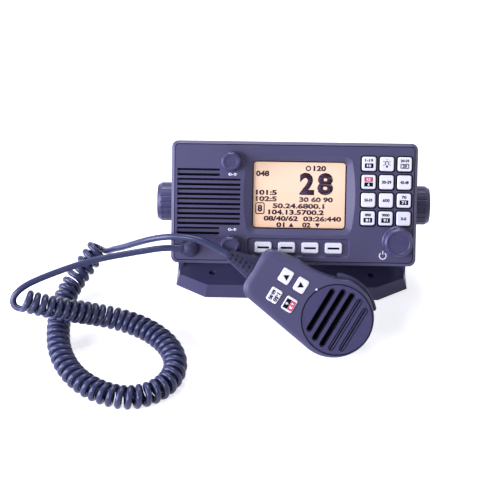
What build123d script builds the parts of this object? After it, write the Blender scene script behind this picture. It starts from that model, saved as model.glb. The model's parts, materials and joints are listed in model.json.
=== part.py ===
from build123d import *
from math import cos, pi, radians, sin, tan
import os

# A fixed-mount VHF marine radio in its gimbal bracket, with a fist microphone on a curly cord.
# Millimetres and degrees. +X is the user's right, the front faces -Y, +Z is up, and the
# origin is the middle of the bracket's underside.

# ---- driving dimensions: radio head ----
panel_width = 180.0
panel_height = 90.0
panel_depth = 26.0
panel_corner = 5.0
panel_rim = 2.4  # bevel round the front face
panel_wall = 2.2
panel_ledge = 1.4  # the wall is this much thicker ahead of the seal
face_wall = 3.0
tilt_back = 35.0  # the head leans back from upright by this much
pivot_height = 64.0  # gimbal axis above the table
pivot_setback = 45.0  # front face ahead of the gimbal axis
panel_rise = 2.0  # panel's middle above the gimbal axis

chassis_side = 8.0  # from the panel's side in to the chassis
chassis_width = panel_width - 2 * chassis_side
chassis_height = 60.0
chassis_reach = 51.0  # rear wall behind the gimbal axis
chassis_drop = 29.0  # underside below the gimbal axis
chassis_wall = 3.0
chassis_cut = 10.0  # bevel under the rear wall
flange_thickness = 3.0
flange_play = 0.15  # all round the chassis flange in the panel
seal_play = 0.3
seal_thickness = 0.8
chassis_shoulder = 4.0  # bevel over the rear wall
bevel_inset = 1.0  # inside, the bevels are smaller by this much
fin_pitch = 8.0
fin_width = 2.4
fin_depth = 6.0
fin_height = 42.0
fin_drop = 5.0  # from the chassis's top to the fins
fin_clear = 1.0  # from the outermost fins to the rear fittings
boss_radius = 7.0
boss_length = 11.0
standoff_inset = 14.0  # from the chassis's sides
standoff_x = chassis_width - 2 * standoff_inset
standoff_y = 44.0
standoff_radius = 3.0
standoff_height = 8.0
main_board_clear = 5.0  # from the board's ends to the chassis wall
main_board_depth = 54.0
main_module_height = 9.0
main_modules = [(-38.0, 0.0, 48.0, 34.0), (32.0, 8.0, 56.0, 24.0)]  # x, y, width, depth

# ---- front panel features, from the middle of the face ----
window_beside = 111.0  # what the speaker and the keypad leave of the panel's width
window_width = panel_width - window_beside
window_height = 50.0
window_x = 3.8
window_y = 6.1
window_corner = 3.0
bezel_border = 3.2
bezel_width = window_width + 2 * bezel_border  # barrel-shaped dish, measured at its corners
bezel_height = 57.0
bezel_bulge = 3.2
bezel_crown = 0.9
bezel_corner = 6.0
bezel_depth = 2.3

key_side = 10.1
key_corner = 1.5
key_columns = 3
key_rows = 4
key_pitch_x = 13.0
key_pitch_y = 13.25
keypad_inset = 22.8  # its middle from the panel's right side
keypad_x = panel_width / 2 - keypad_inset
keypad_y = 10.1
key_travel = 0.8
key_proud = 1.2
key_gap = 0.4  # all round a key in its hole
key_lip = 0.8  # a key's flange beyond its cap
key_lip_thickness = 1.2
key_edge = 0.45

soft_key_count = 4
soft_key_between = 4.7
soft_key_height = 7.7
soft_row_spare = 0.2  # of the window's width
soft_key_pitch = (window_width - soft_row_spare) / soft_key_count
soft_key_width = soft_key_pitch - soft_key_between
soft_row_y = -32.4
soft_dish_border = 3.25  # beyond the window's width
soft_dish_width = window_width + 2 * soft_dish_border
soft_dish_height = 14.0
soft_dish_depth = 1.4
soft_dish_corner = 3.0
soft_dish_slope = 40.0
soft_key_proud = 0.3

slot_count = 7
slot_pitch = 7.15
slot_height = 5.4
slot_inset = 4.4  # from the panel's left side
slot_left = slot_inset - panel_width / 2
slot_length = 46.2
slot_short = 31.0  # first and last slot stop beside the knobs
slot_right = slot_left + slot_length
slot_short_right = slot_left + slot_short
slot_middle_y = 0.55
slot_recess = 0.9
slit_top = 0.9
slit_bottom = 1.2

small_knob_radius = 7.5
small_knob_height = 10.5
small_knob_inset = 43.8  # from the panel's left side
small_knob_x = small_knob_inset - panel_width / 2
squelch_y = 30.0
volume_y = -31.3
big_knob_radius = 11.4
big_knob_height = 15.0
big_knob_inset = 13.9  # from the panel's right side
big_knob_x = panel_width / 2 - big_knob_inset
big_knob_y = -26.8
knob_lift = 0.5  # knob's skirt above the face
shaft_radius = 3.0
shaft_fit = 0.05  # radial running clearance of every shaft
bush_radius = 4.3
bush_fit = 0.2
pot_floor = 1.0
small_pot_radius = 6.2
big_pot_radius = 7.5
knob_skirt = 1.6
knob_grip = 0.93  # share of the radius at the grip's foot
knob_cap = 0.84  # share of the radius at the cap
knob_edge = 1.1
knob_dish = 0.4
knob_crown = 3.0  # solid material over the shaft
flute_radius = 1.0
small_flutes = 12
big_flutes = 18

speaker_inset = 27.5  # from the panel's left side
speaker_x = speaker_inset - panel_width / 2
speaker_y = 0.6
speaker_radius = 22.5
speaker_rim = 2.5
speaker_cone_depth = 9.0
speaker_dome_radius = 6.0
speaker_magnet_radius = 14.0
speaker_basket_depth = 10.5
speaker_depth = 16.5
gland_inset = 14.4  # from the panel's left side
gland_x = gland_inset - panel_width / 2
gland_y = -33.5
gland_flange_radius = 7.0
gland_flange_height = 1.6
gland_neck_radius = 3.7
gland_body_radius = 5.2
gland_nut_depth = 4.5
gland_top = 10.0
gland_shoulder = 7.5
gland_elbow_radius = 3.6
gland_lip_radius = 4.1
gland_lip_length = 1.4
gland_elbow_reach = 6.5
gland_elbow_rise = 5.2

lens_margin = 1.5
lens_thickness = 1.5
module_thickness = 6.2
board_thickness = 1.6
board_past_speaker = 8.5  # the board starts this far right of the speaker's middle
board_left = speaker_x + board_past_speaker
board_margin = 0.8  # from the board to the panel's wall
speaker_clear = 3.5  # from the speaker to the board's cut-out
post_radius = 2.5
post_beside_knob = 9.2  # left posts, right of the small knobs
upper_post_aside = 20.7  # right posts, left of the keypad's middle
lower_post_aside = 17.2
mat_sheet = 1.5
mat_edge = 0.6  # the key mat beyond the outer keys
mat_plug = 2.5
mat_bridge_inset = 18.2  # its middle left of the keypad's
mat_bridge = (keypad_x - mat_bridge_inset, -22.0, 34.0, 14.0)  # x, y, width, height between the key groups
small_edge = 0.6
seat_gap = 0.05  # between parts that only rest on each other

fitting_inset = 12.0
fitting_x = chassis_width / 2 - fitting_inset  # antenna socket and supply gland on the rear wall
fitting_rise = 10.0
socket_flange_radius = 10.5
fin_room = fitting_x - socket_flange_radius - fin_clear - fin_width / 2
fin_count = 2 * int(fin_room / fin_pitch) + 1
socket_flange = 2.0
socket_radius = 7.9
socket_length = 14.0
socket_bore = 6.2
socket_depth = 9.0
socket_core = 2.1
supply_flange_radius = 9.0
supply_root_radius = 6.4
supply_tip_radius = 4.9
supply_bore = 3.0
supply_length = 12.0

# ---- driving dimensions: gimbal bracket ----
arm_under = 5.0  # from the panel's side in to the arm
arm_inner = panel_width / 2 - arm_under
arm_thickness = 4.0
arm_end_radius = 13.0
arm_foot_width = 30.0
base_beyond_arm = 1.5
base_half_width = arm_inner + arm_thickness + base_beyond_arm
base_half_depth = 38.5
base_side_half = 24.5  # half the straight side, the corners beyond it are cut off
base_corner = 23.5  # cut off each corner, along the front
base_front_half = base_half_width - base_corner
base_height = 10.5
base_draft = 3.0  # the top is smaller than the foot by this much all round
base_wall = 3.0
base_side_share = 0.35  # how far the cut corners follow an inset, at the sides and in front
base_front_share = 0.55
base_rib_x = 22.0
screw_boss_wall = 3.0
arm_root = 5.0  # the arm starts this far down inside the base
screw_hole_radius = 2.75
screw_inset = 5.0  # from the end of the base's front edge
screw_spacing_x = 2 * (base_front_half - screw_inset)
screw_spacing_y = 42.0
gimbal_knob_radius = 14.8
gimbal_knob_length = 14.4
gimbal_flutes = 20
gimbal_flute_radius = 1.0
gimbal_knob_collar = 3.0  # plain length next to the arm
gimbal_knob_taper = 3.2
stud_reach = 13.0  # stud's length inside the arm's inner face
stud_engage = 9.0  # stud's length inside the clamp knob

# ---- driving dimensions: fist microphone ----
mic_beside_knob = 78.6  # grille's middle, right of the volume knob
mic_x = small_knob_x + mic_beside_knob
mic_turn = 30.2  # its long axis runs down to the right by this much
mic_head_radius = 29.5
mic_head_drop = 3.0  # head's centre towards the grip from the grille's centre
mic_length = 71.0  # grille's centre to the grip's end
mic_grip_half = 20.0
mic_grip_corner = 9.0
mic_head_depth = 21.5
mic_grip_depth = 16.0
mic_seam = 9.0  # joint between the shells, behind the face
mic_wall = 2.0
mic_face_wall = 3.0
mic_edge = 2.4
mic_back_edge = 3.0
mic_contact = 26.0  # from the grip's end to where its back meets the radio's lower edge
mic_lean_gap = 0.3  # between its back and the radio's face
mic_floor_gap = 0.1
waist_radius = 60.0
waist_x = 82.0
waist_y = -36.0
grille_radius = 26.0
grille_gap = 0.3
grille_thickness = 2.0
grille_slot_pitch = 6.9
grille_slot_width = 3.2
grille_slot_narrow = 0.9
grille_slot_reach = 22.6
grille_slots = 5
grille_open_slots = (0, 1, 2)  # the rest are narrow
grille_shelf = 3.0  # ring that carries the grille
insert_margin = 1.8
insert_depth = 5.0
insert_dish_margin = 4.0
insert_dish = 1.5
insert_dome_radius = 7.0
mic_board_width = 34.0
mic_board_length = 36.0
mic_board_y = -44.0
mic_post_x = 15.5
mic_post_y = 16.5
mic_post_radius = 1.6
stud_shift = 8.0
stud_neck_radius = 3.5
stud_neck = 3.6
stud_head_radius = 6.5
stud_head = 2.2
mic_key_width = 10.7
mic_key_height = 8.7
mic_key_x = 8.1
mic_key_top = -35.3
mic_key_pitch = 12.7
mic_key_proud = 0.7
ptt_inner = 27.6
ptt_outer = 31.9
ptt_start = 130.0
ptt_sweep = 76.0
ptt_top = 4.0
ptt_height = 9.5
ptt_travel = 1.2
ptt_gap = 0.3
ptt_edge = 1.0
ptt_reach = 3.0  # its opening runs this far out through the shell
boot_length = 20.6
boot_width = 18.0
boot_thickness = 13.5
boot_tip_radius = 4.0
boot_rows = 5
boot_cell_length = 1.7
boot_cell_width = 2.6  # at the root, narrower towards the tip
boot_cell_pitch = 4.0
boot_cell_depth = 1.2
boot_rise = 6.0  # the tip bends this far forward, over the volume knob's edge

# ---- driving dimensions: cord ----
wire_radius = 2.45
coil_radius = 9.0
lead_start = 12.0  # each lead leaves its fitting straight for this long

# ---- shared frames ----
tilt = radians(tilt_back)
forward = Vector(0, -cos(tilt), sin(tilt))
upward = Vector(0, sin(tilt), cos(tilt))
pivot = Vector(0, 0, pivot_height)
head = Plane(origin=pivot, x_dir=(1, 0, 0), z_dir=forward)
face = Plane(origin=pivot + forward * pivot_setback + upward * panel_rise, x_dir=(1, 0, 0), z_dir=forward)
head_side = Plane(origin=pivot, x_dir=forward, z_dir=(-1, 0, 0))
head_axis = Axis(pivot, forward)

arm_outer = arm_inner + arm_thickness
flange_front = pivot_setback - panel_depth + flange_thickness
seal_shelf = panel_depth - flange_thickness - seal_thickness
ledge_wall = panel_wall + panel_ledge
board_front = face_wall + lens_thickness + module_thickness + 4 * seat_gap
post_left = small_knob_x + post_beside_knob
board_posts = [
    (post_left, 38),
    (keypad_x - upper_post_aside, 38),
    (keypad_x - lower_post_aside, -32),
    (post_left, -18),
]
key_places = [
    (keypad_x + (column - 1) * key_pitch_x, keypad_y + (1.5 - row) * key_pitch_y)
    for row in range(key_rows)
    for column in range(key_columns)
]
soft_key_places = [
    (window_x + (index - (soft_key_count - 1) / 2) * soft_key_pitch, soft_row_y)
    for index in range(soft_key_count)
]
slot_places = [
    (
        slot_short_right if index in (0, slot_count - 1) else slot_right,
        slot_middle_y + ((slot_count - 1) / 2 - index) * slot_pitch,
    )
    for index in range(slot_count)
]
screw_places = [(x * screw_spacing_x / 2, y * screw_spacing_y / 2) for x in (-1, 1) for y in (-1, 1)]
finished = {}


def face_point(x, y, out=0.0):
    """Point on the front face, out is ahead of it."""
    return face.origin + face.x_dir * x + upward * y + forward * out


def meridian(point):
    """Plane through a knob's or socket's axis: local x is its radius, local y its height."""
    return Plane(origin=point, x_dir=(1, 0, 0), z_dir=upward * -1)


def keep(piece, name):
    """Labels a finished piece and holds it for export."""
    piece.label = name
    finished[name] = piece


# ---- radio head: front panel ----
with BuildPart() as front_panel:
    with BuildSketch(face):
        RectangleRounded(panel_width, panel_height, panel_corner)
    extrude(amount=-panel_depth)
    chamfer(front_panel.faces().sort_by(head_axis)[-1].edges(), panel_rim)
    with BuildSketch(face.offset(-panel_depth)):
        RectangleRounded(
            panel_width - 2 * panel_wall, panel_height - 2 * panel_wall, panel_corner - panel_wall
        )
    extrude(amount=flange_thickness + seal_thickness, mode=Mode.SUBTRACT)
    with BuildSketch(face.offset(-seal_shelf)):
        RectangleRounded(panel_width - 2 * ledge_wall, panel_height - 2 * ledge_wall, panel_wall)
    extrude(amount=seal_shelf - face_wall, mode=Mode.SUBTRACT)
    # dished bezel down to the display window
    with BuildSketch(face) as bezel:
        with BuildLine():
            left = window_x - bezel_width / 2
            right = window_x + bezel_width / 2
            top = window_y + bezel_height / 2
            bottom = window_y - bezel_height / 2
            ThreePointArc((left, top), (window_x, top + bezel_crown), (right, top))
            ThreePointArc((right, top), (right + bezel_bulge, window_y), (right, bottom))
            ThreePointArc((right, bottom), (window_x, bottom - bezel_crown), (left, bottom))
            ThreePointArc((left, bottom), (left - bezel_bulge, window_y), (left, top))
        make_face()
        fillet(bezel.vertices(), bezel_corner)
    with BuildSketch(face.offset(-bezel_depth)):
        with Locations((window_x, window_y)):
            RectangleRounded(window_width, window_height, window_corner)
    loft(mode=Mode.SUBTRACT)
    with BuildSketch(face):
        with Locations((window_x, window_y)):
            RectangleRounded(window_width, window_height, window_corner)
    extrude(amount=-face_wall, mode=Mode.SUBTRACT)
    # dish of the soft keys, with their holes
    with BuildSketch(face):
        with Locations((window_x, soft_row_y)):
            RectangleRounded(soft_dish_width, soft_dish_height, soft_dish_corner)
    extrude(amount=-soft_dish_depth, taper=soft_dish_slope, mode=Mode.SUBTRACT)
    with BuildSketch(face):
        with Locations(*soft_key_places):
            RectangleRounded(
                soft_key_width + 2 * key_gap, soft_key_height + 2 * key_gap, key_corner + key_gap
            )
        with Locations(*key_places):
            RectangleRounded(key_side + 2 * key_gap, key_side + 2 * key_gap, key_corner + key_gap)
    extrude(amount=-face_wall, mode=Mode.SUBTRACT)
    # louvres over the speaker: a shallow recess with a slit along each edge
    with BuildSketch(face):
        for end, y in slot_places:
            with Locations(((slot_left + end) / 2, y)):
                Rectangle(end - slot_left, slot_height)
    extrude(amount=-slot_recess, mode=Mode.SUBTRACT)
    with BuildSketch(face):
        for end, y in slot_places:
            with Locations(((slot_left + end) / 2, y + (slot_height - slit_top) / 2)):
                Rectangle(end - slot_left, slit_top)
            with Locations(((slot_left + end) / 2, y - (slot_height - slit_bottom) / 2)):
                Rectangle(end - slot_left, slit_bottom)
    extrude(amount=-face_wall, mode=Mode.SUBTRACT)
    with BuildSketch(face):
        with Locations((small_knob_x, squelch_y), (small_knob_x, volume_y), (big_knob_x, big_knob_y)):
            Circle(bush_radius + bush_fit)
        with Locations((gland_x, gland_y)):
            Circle(gland_neck_radius + bush_fit)
    extrude(amount=-face_wall, mode=Mode.SUBTRACT)
    with BuildSketch(face.offset(-face_wall)):
        with Locations(*board_posts):
            Circle(post_radius)
    extrude(amount=face_wall - board_front)
keep(front_panel.part, "front_panel")

with BuildPart() as panel_seal:
    with BuildSketch(face.offset(-seal_shelf)):
        RectangleRounded(
            panel_width - 2 * (panel_wall + seal_play),
            panel_height - 2 * (panel_wall + seal_play),
            panel_corner - panel_wall,
        )
        RectangleRounded(
            panel_width - 2 * ledge_wall, panel_height - 2 * ledge_wall, panel_wall, mode=Mode.SUBTRACT
        )
    extrude(amount=-seal_thickness)
keep(panel_seal.part, "panel_seal")

# ---- radio head: die-cast chassis with cooling fins ----
chassis_top = chassis_height - chassis_drop
with BuildPart() as rear_chassis:
    with BuildSketch(face.offset(-panel_depth)):
        RectangleRounded(
            panel_width - 2 * (panel_wall + flange_play),
            panel_height - 2 * (panel_wall + flange_play),
            panel_corner - panel_wall,
        )
    extrude(amount=flange_thickness)
    with BuildSketch(head_side):
        with BuildLine():
            Polyline(
                (flange_front, -chassis_drop),
                (chassis_cut - chassis_reach, -chassis_drop),
                (-chassis_reach, chassis_cut - chassis_drop),
                (-chassis_reach, chassis_top - chassis_shoulder),
                (chassis_shoulder - chassis_reach, chassis_top),
                (flange_front, chassis_top),
                close=True,
            )
        make_face()
    extrude(amount=chassis_width / 2, both=True)
    with BuildSketch(head_side):
        inner_floor = chassis_wall - chassis_drop
        inner_rear = chassis_wall - chassis_reach
        with BuildLine():
            Polyline(
                (flange_front, inner_floor),
                (inner_rear + chassis_cut - bevel_inset, inner_floor),
                (inner_rear, inner_floor + chassis_cut - bevel_inset),
                (inner_rear, chassis_top - chassis_wall - chassis_shoulder + bevel_inset),
                (inner_rear + chassis_shoulder - bevel_inset, chassis_top - chassis_wall),
                (flange_front, chassis_top - chassis_wall),
                close=True,
            )
        make_face()
    extrude(amount=chassis_width / 2 - chassis_wall, both=True, mode=Mode.SUBTRACT)
    # upright fins on the rear wall
    with BuildSketch(head.offset(-chassis_reach)):
        with Locations((0, chassis_top - fin_drop - fin_height / 2)):
            with GridLocations(fin_pitch, 1, fin_count, 1):
                Rectangle(fin_width, fin_height)
    extrude(amount=-fin_depth)
    # stand-offs for the main board
    with BuildSketch(Plane(origin=pivot + upward * inner_floor, x_dir=(1, 0, 0), z_dir=upward)):
        with Locations((0, chassis_reach / 3)):
            with GridLocations(standoff_x, standoff_y, 2, 2):
                Circle(standoff_radius)
    extrude(amount=standoff_height)
    # threaded bosses for the gimbal studs
    for side in (-1, 1):
        wall_middle = side * (chassis_width - chassis_wall) / 2
        with BuildSketch(Plane(origin=pivot + Vector(wall_middle, 0, 0), z_dir=(-side, 0, 0))):
            Circle(boss_radius)
        extrude(amount=boss_length)
        with BuildSketch(Plane(origin=pivot + Vector(side * chassis_width / 2, 0, 0), z_dir=(-side, 0, 0))):
            Circle(shaft_radius + shaft_fit)
        extrude(amount=chassis_width / 2 - arm_inner + stud_reach + small_edge, mode=Mode.SUBTRACT)
keep(rear_chassis.part, "rear_chassis")

for side, chassis_side in ((-1, "left"), (1, "right")):
    with BuildPart() as washer:
        with BuildSketch(Plane(origin=pivot + Vector(side * chassis_width / 2, 0, 0), z_dir=(side, 0, 0))):
            Circle(arm_end_radius - 1)
            Circle(shaft_radius + 2 * shaft_fit, mode=Mode.SUBTRACT)
        extrude(amount=arm_inner - chassis_width / 2 - seat_gap)
    keep(washer.part, f"pivot_washer_{chassis_side}")

# ---- radio head: display, boards, speaker ----
lens_back = face_wall + seat_gap + lens_thickness
with BuildPart() as display_lens:
    with BuildSketch(face.offset(-face_wall - seat_gap)):
        with Locations((window_x, window_y)):
            Rectangle(window_width + 2 * lens_margin, window_height + 2 * lens_margin)
    extrude(amount=-lens_thickness)
keep(display_lens.part, "display_lens")

with BuildPart() as display_module:
    with BuildSketch(face.offset(-lens_back - seat_gap)):
        with Locations((window_x, window_y)):
            Rectangle(window_width + 2 * lens_margin, window_height + 2 * lens_margin)
    extrude(amount=-module_thickness)
keep(display_module.part, "display_module")

board_right = panel_width / 2 - ledge_wall - board_margin
with BuildPart() as control_board:
    with BuildSketch(face.offset(-board_front)):
        with Locations(((board_left + board_right) / 2, 0)):
            Rectangle(board_right - board_left, panel_height - 2 * (ledge_wall + board_margin))
        with Locations((speaker_x, speaker_y)):
            Circle(speaker_radius + speaker_clear, mode=Mode.SUBTRACT)
    extrude(amount=-board_thickness)
keep(control_board.part, "control_board")

mat_front = face_wall + key_lip_thickness + key_travel + 3 * seat_gap
with BuildPart() as key_mat:
    with BuildSketch(face.offset(-board_front + mat_sheet)):
        with Locations((keypad_x, keypad_y)):
            Rectangle(
                (key_columns - 1) * key_pitch_x + key_side + 2 * mat_edge,
                (key_rows - 1) * key_pitch_y + key_side + 2 * mat_edge,
            )
        with Locations((window_x, soft_row_y)):
            Rectangle((soft_key_count - 1) * soft_key_pitch + soft_key_width, soft_key_height)
        with Locations(mat_bridge[:2]):
            Rectangle(*mat_bridge[2:])
        with Locations(board_posts[2]):
            Circle(post_radius + mat_edge, mode=Mode.SUBTRACT)
        with Locations((window_x, window_y)):
            Rectangle(
                window_width + 2 * (lens_margin + mat_edge),
                window_height + 2 * (lens_margin + mat_edge),
                mode=Mode.SUBTRACT,
            )
    extrude(amount=-mat_sheet)
    with BuildSketch(face.offset(-board_front + mat_sheet)):
        with Locations(*key_places, *soft_key_places):
            Circle(mat_plug)
    extrude(amount=board_front - mat_sheet - mat_front)
keep(key_mat.part, "key_mat")

with BuildPart() as speaker:
    with BuildSketch(meridian(face_point(speaker_x, speaker_y, -face_wall - seat_gap))):
        with BuildLine():
            Polyline(
                (0, -speaker_cone_depth),
                (speaker_dome_radius, -speaker_cone_depth),
                (speaker_radius - 2 * speaker_rim, -speaker_rim),
                (speaker_radius - speaker_rim, 0),
                (speaker_radius, 0),
                (speaker_radius, -speaker_rim),
                (speaker_radius - speaker_rim, -speaker_rim),
                (speaker_magnet_radius, -speaker_basket_depth),
                (speaker_magnet_radius, -speaker_depth),
                (0, -speaker_depth),
                close=True,
            )
        make_face()
    revolve(axis=Axis(face_point(speaker_x, speaker_y), forward))
keep(speaker.part, "speaker")

with BuildPart() as main_board:
    board_level = inner_floor + standoff_height
    with BuildSketch(Plane(origin=pivot + upward * board_level, x_dir=(1, 0, 0), z_dir=upward)):
        with Locations((0, chassis_reach / 3)):
            Rectangle(chassis_width - 2 * (chassis_wall + main_board_clear), main_board_depth)
    extrude(amount=board_thickness)
    with BuildSketch(
        Plane(origin=pivot + upward * (board_level + board_thickness), x_dir=(1, 0, 0), z_dir=upward)
    ):
        for x, y, width, depth in main_modules:
            with Locations((x, chassis_reach / 3 + y)):
                RectangleRounded(width, depth, 2 * small_edge)
    extrude(amount=main_module_height)
keep(main_board.part, "main_board")

# ---- radio head: pots, shafts and knobs ----


def rotary_body(x, y, radius):
    """Pot or encoder between the board and the face, its bush in the face's hole."""
    with BuildPart() as body:
        with BuildSketch(meridian(face_point(x, y, -board_front))):
            with BuildLine():
                Polyline(
                    (0, seat_gap),
                    (radius, seat_gap),
                    (radius, board_front - face_wall - pot_floor),
                    (bush_radius, board_front - face_wall - pot_floor),
                    (bush_radius, board_front),
                    (shaft_radius + shaft_fit, board_front),
                    (shaft_radius + shaft_fit, pot_floor),
                    (0, pot_floor),
                    close=True,
                )
            make_face()
        revolve(axis=Axis(face_point(x, y), forward))
    return body.part


def shaft(x, y, height):
    """Plain spindle from the bottom of its pot into its knob."""
    with BuildPart() as spindle:
        with BuildSketch(face.offset(pot_floor + 2 * seat_gap - board_front)):
            with Locations((x, y)):
                Circle(shaft_radius)
        extrude(amount=board_front - pot_floor - 2 * seat_gap + height)
    return spindle.part


def knob(x, y, radius, height, flutes):
    """Turned knob: a skirt, a fluted grip that narrows upwards and a dished cap."""
    grip = radius * knob_grip
    cap = radius * knob_cap
    with BuildPart() as turned:
        with BuildSketch(meridian(face_point(x, y, knob_lift))):
            with BuildLine():
                Polyline(
                    (0, 0),
                    (radius, 0),
                    (radius, knob_skirt),
                    (grip, 1.5 * knob_skirt),
                    (cap + knob_edge / 2, height - knob_edge),
                    (cap - knob_edge / 2, height),
                    (cap - 1.5 * knob_edge, height),
                    (cap - 1.5 * knob_edge - knob_dish, height - knob_dish),
                    (0, height - knob_dish),
                    close=True,
                )
            make_face()
        revolve(axis=Axis(face_point(x, y), forward))
        grip_foot = face_point(x, y, knob_lift + 1.5 * knob_skirt)
        with BuildSketch(Plane(origin=grip_foot, x_dir=(1, 0, 0), z_dir=forward)):
            with PolarLocations(grip + flute_radius / 2, flutes):
                Circle(flute_radius)
        extrude(amount=height, mode=Mode.SUBTRACT)
        with BuildSketch(Plane(origin=face_point(x, y, knob_lift), x_dir=(1, 0, 0), z_dir=forward)):
            Circle(shaft_radius)
        extrude(amount=height - knob_crown, mode=Mode.SUBTRACT)
    return turned.part


small_shaft_height = knob_lift + small_knob_height - knob_crown - seat_gap
big_shaft_height = knob_lift + big_knob_height - knob_crown - seat_gap
for name, y in (("squelch", squelch_y), ("volume", volume_y)):
    keep(rotary_body(small_knob_x, y, small_pot_radius), f"{name}_pot")
    keep(shaft(small_knob_x, y, small_shaft_height), f"{name}_shaft")
    keep(knob(small_knob_x, y, small_knob_radius, small_knob_height, small_flutes), f"{name}_knob")
keep(rotary_body(big_knob_x, big_knob_y, big_pot_radius), "channel_encoder")
keep(shaft(big_knob_x, big_knob_y, big_shaft_height), "channel_shaft")
keep(knob(big_knob_x, big_knob_y, big_knob_radius, big_knob_height, big_flutes), "channel_knob")

# ---- keys of the radio and the microphone ----


def key_cap(plane, x, y, width, height, proud, wall):
    """Key cap with a lip behind the wall that it comes through."""
    with BuildPart() as cap:
        with BuildSketch(plane.offset(-wall - seat_gap - key_lip_thickness)):
            with Locations((x, y)):
                Rectangle(width + 2 * key_lip, height + 2 * key_lip)
        extrude(amount=key_lip_thickness)
        with BuildSketch(plane.offset(-wall - seat_gap)):
            with Locations((x, y)):
                RectangleRounded(width, height, key_corner)
        extrude(amount=wall + seat_gap + proud)
        chamfer(cap.faces().sort_by(Axis(plane.origin, plane.z_dir))[-1].edges(), key_edge)
    return cap.part


for index, (x, y) in enumerate(key_places):
    keep(key_cap(face, x, y, key_side, key_side, key_proud, face_wall), f"keypad_key_{index + 1:02d}")
for index, (x, y) in enumerate(soft_key_places):
    keep(
        key_cap(face, x, y, soft_key_width, soft_key_height, soft_key_proud, face_wall),
        f"soft_key_{index + 1}",
    )

# ---- radio head: cord gland and rear fittings ----
gland_base = face_point(gland_x, gland_y)
gland_end = face_point(gland_x - gland_elbow_reach, gland_y, gland_elbow_rise)
with BuildPart() as mic_cord_gland:
    with BuildSketch(meridian(gland_base)):
        with BuildLine():
            Polyline(
                (0, -gland_nut_depth),
                (gland_body_radius, -gland_nut_depth),
                (gland_body_radius, -face_wall - seat_gap),
                (gland_neck_radius, -face_wall - seat_gap),
                (gland_neck_radius, seat_gap),
                (gland_flange_radius, seat_gap),
                (gland_flange_radius, gland_flange_height - small_edge),
                (gland_flange_radius - small_edge, gland_flange_height),
                (gland_body_radius, gland_flange_height),
                (gland_body_radius, gland_shoulder),
            )
            RadiusArc((gland_body_radius, gland_shoulder), (0, gland_top), -1.25 * gland_body_radius)
            Line((0, gland_top), (0, -gland_nut_depth))
        make_face()
    revolve(axis=Axis(gland_base, forward))
    with BuildSketch(Plane(origin=face_point(gland_x, gland_y, gland_elbow_rise), z_dir=(-1, 0, 0))):
        Circle(gland_elbow_radius)
    extrude(amount=gland_elbow_reach)
    with BuildSketch(Plane(origin=gland_end, z_dir=(1, 0, 0))):
        Circle(gland_lip_radius)
    extrude(amount=gland_lip_length)
keep(mic_cord_gland.part, "mic_cord_gland")

rear_point = pivot - forward * chassis_reach
with BuildPart() as antenna_socket:
    socket_base = rear_point + Vector(fitting_x, 0, 0) + upward * fitting_rise
    with BuildSketch(meridian(socket_base)):
        with BuildLine():
            Polyline(
                (0, 0),
                (socket_flange_radius, 0),
                (socket_flange_radius, -socket_flange),
                (socket_radius, -socket_flange),
                (socket_radius, -socket_flange - socket_length),
                (socket_bore, -socket_flange - socket_length),
                (socket_bore, -socket_flange - socket_length + socket_depth),
                (socket_core, -socket_flange - socket_length + socket_depth),
                (socket_core, -socket_flange - socket_length + seat_gap),
                (0, -socket_flange - socket_length + seat_gap),
                close=True,
            )
        make_face()
    revolve(axis=Axis(socket_base, forward))
keep(antenna_socket.part, "antenna_socket")

with BuildPart() as supply_gland:
    supply_base = rear_point - Vector(fitting_x, 0, 0) + upward * fitting_rise
    with BuildSketch(meridian(supply_base)):
        with BuildLine():
            Polyline(
                (supply_bore, 0),
                (supply_flange_radius, 0),
                (supply_flange_radius, -socket_flange),
                (supply_root_radius, -socket_flange - small_edge),
                (supply_tip_radius, -supply_length),
                (supply_bore, -supply_length),
                close=True,
            )
        make_face()
    revolve(axis=Axis(supply_base, forward))
keep(supply_gland.part, "supply_gland")

# ---- gimbal bracket and its clamp knobs ----


def base_outline(inset):
    """Bracket's foot with its four corners cut off, inside its edge by inset."""
    side = base_half_width - inset
    depth = base_half_depth - inset
    side_half = base_side_half - inset * base_side_share
    front_half = base_front_half - inset * base_front_share
    with BuildSketch() as outline:
        with BuildLine():
            Polyline(
                (side, -side_half),
                (side, side_half),
                (front_half, depth),
                (-front_half, depth),
                (-side, side_half),
                (-side, -side_half),
                (-front_half, -depth),
                (front_half, -depth),
                close=True,
            )
        make_face()
    return outline.sketch


with BuildPart() as gimbal_bracket:
    with BuildSketch():
        add(base_outline(0))
    with BuildSketch(Plane.XY.offset(base_height)):
        add(base_outline(base_draft))
    loft(ruled=True)
    for side in (-1, 1):
        with BuildSketch(Plane.YZ.offset(side * arm_inner)):
            with BuildLine() as arm_edges:
                CenterArc((0, pivot_height), arm_end_radius, 0, 360)
                Polyline(
                    (-arm_foot_width / 2, base_height - arm_root),
                    (arm_foot_width / 2, base_height - arm_root),
                    (arm_foot_width / 2, base_height),
                    (-arm_foot_width / 2, base_height),
                    close=True,
                )
            make_hull()
        extrude(amount=side * arm_thickness)
    with BuildSketch():
        add(base_outline(base_wall))
    with BuildSketch(Plane.XY.offset(base_height - base_wall)):
        add(base_outline(base_wall + base_draft))
    loft(ruled=True, mode=Mode.SUBTRACT)
    with BuildSketch():
        with Locations(*screw_places):
            Circle(screw_hole_radius + screw_boss_wall)
        for x in (-base_rib_x, base_rib_x):
            with Locations((x, 0)):
                Rectangle(base_wall, 2 * (base_half_depth - base_wall))
    extrude(amount=base_height - base_wall)
    with BuildSketch():
        with Locations(*screw_places):
            Circle(screw_hole_radius)
    extrude(amount=base_height, mode=Mode.SUBTRACT)
    with BuildSketch(Plane.YZ.offset(-arm_outer)):
        with Locations((0, pivot_height)):
            Circle(shaft_radius + shaft_fit)
    extrude(amount=2 * arm_outer, mode=Mode.SUBTRACT)
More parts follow.
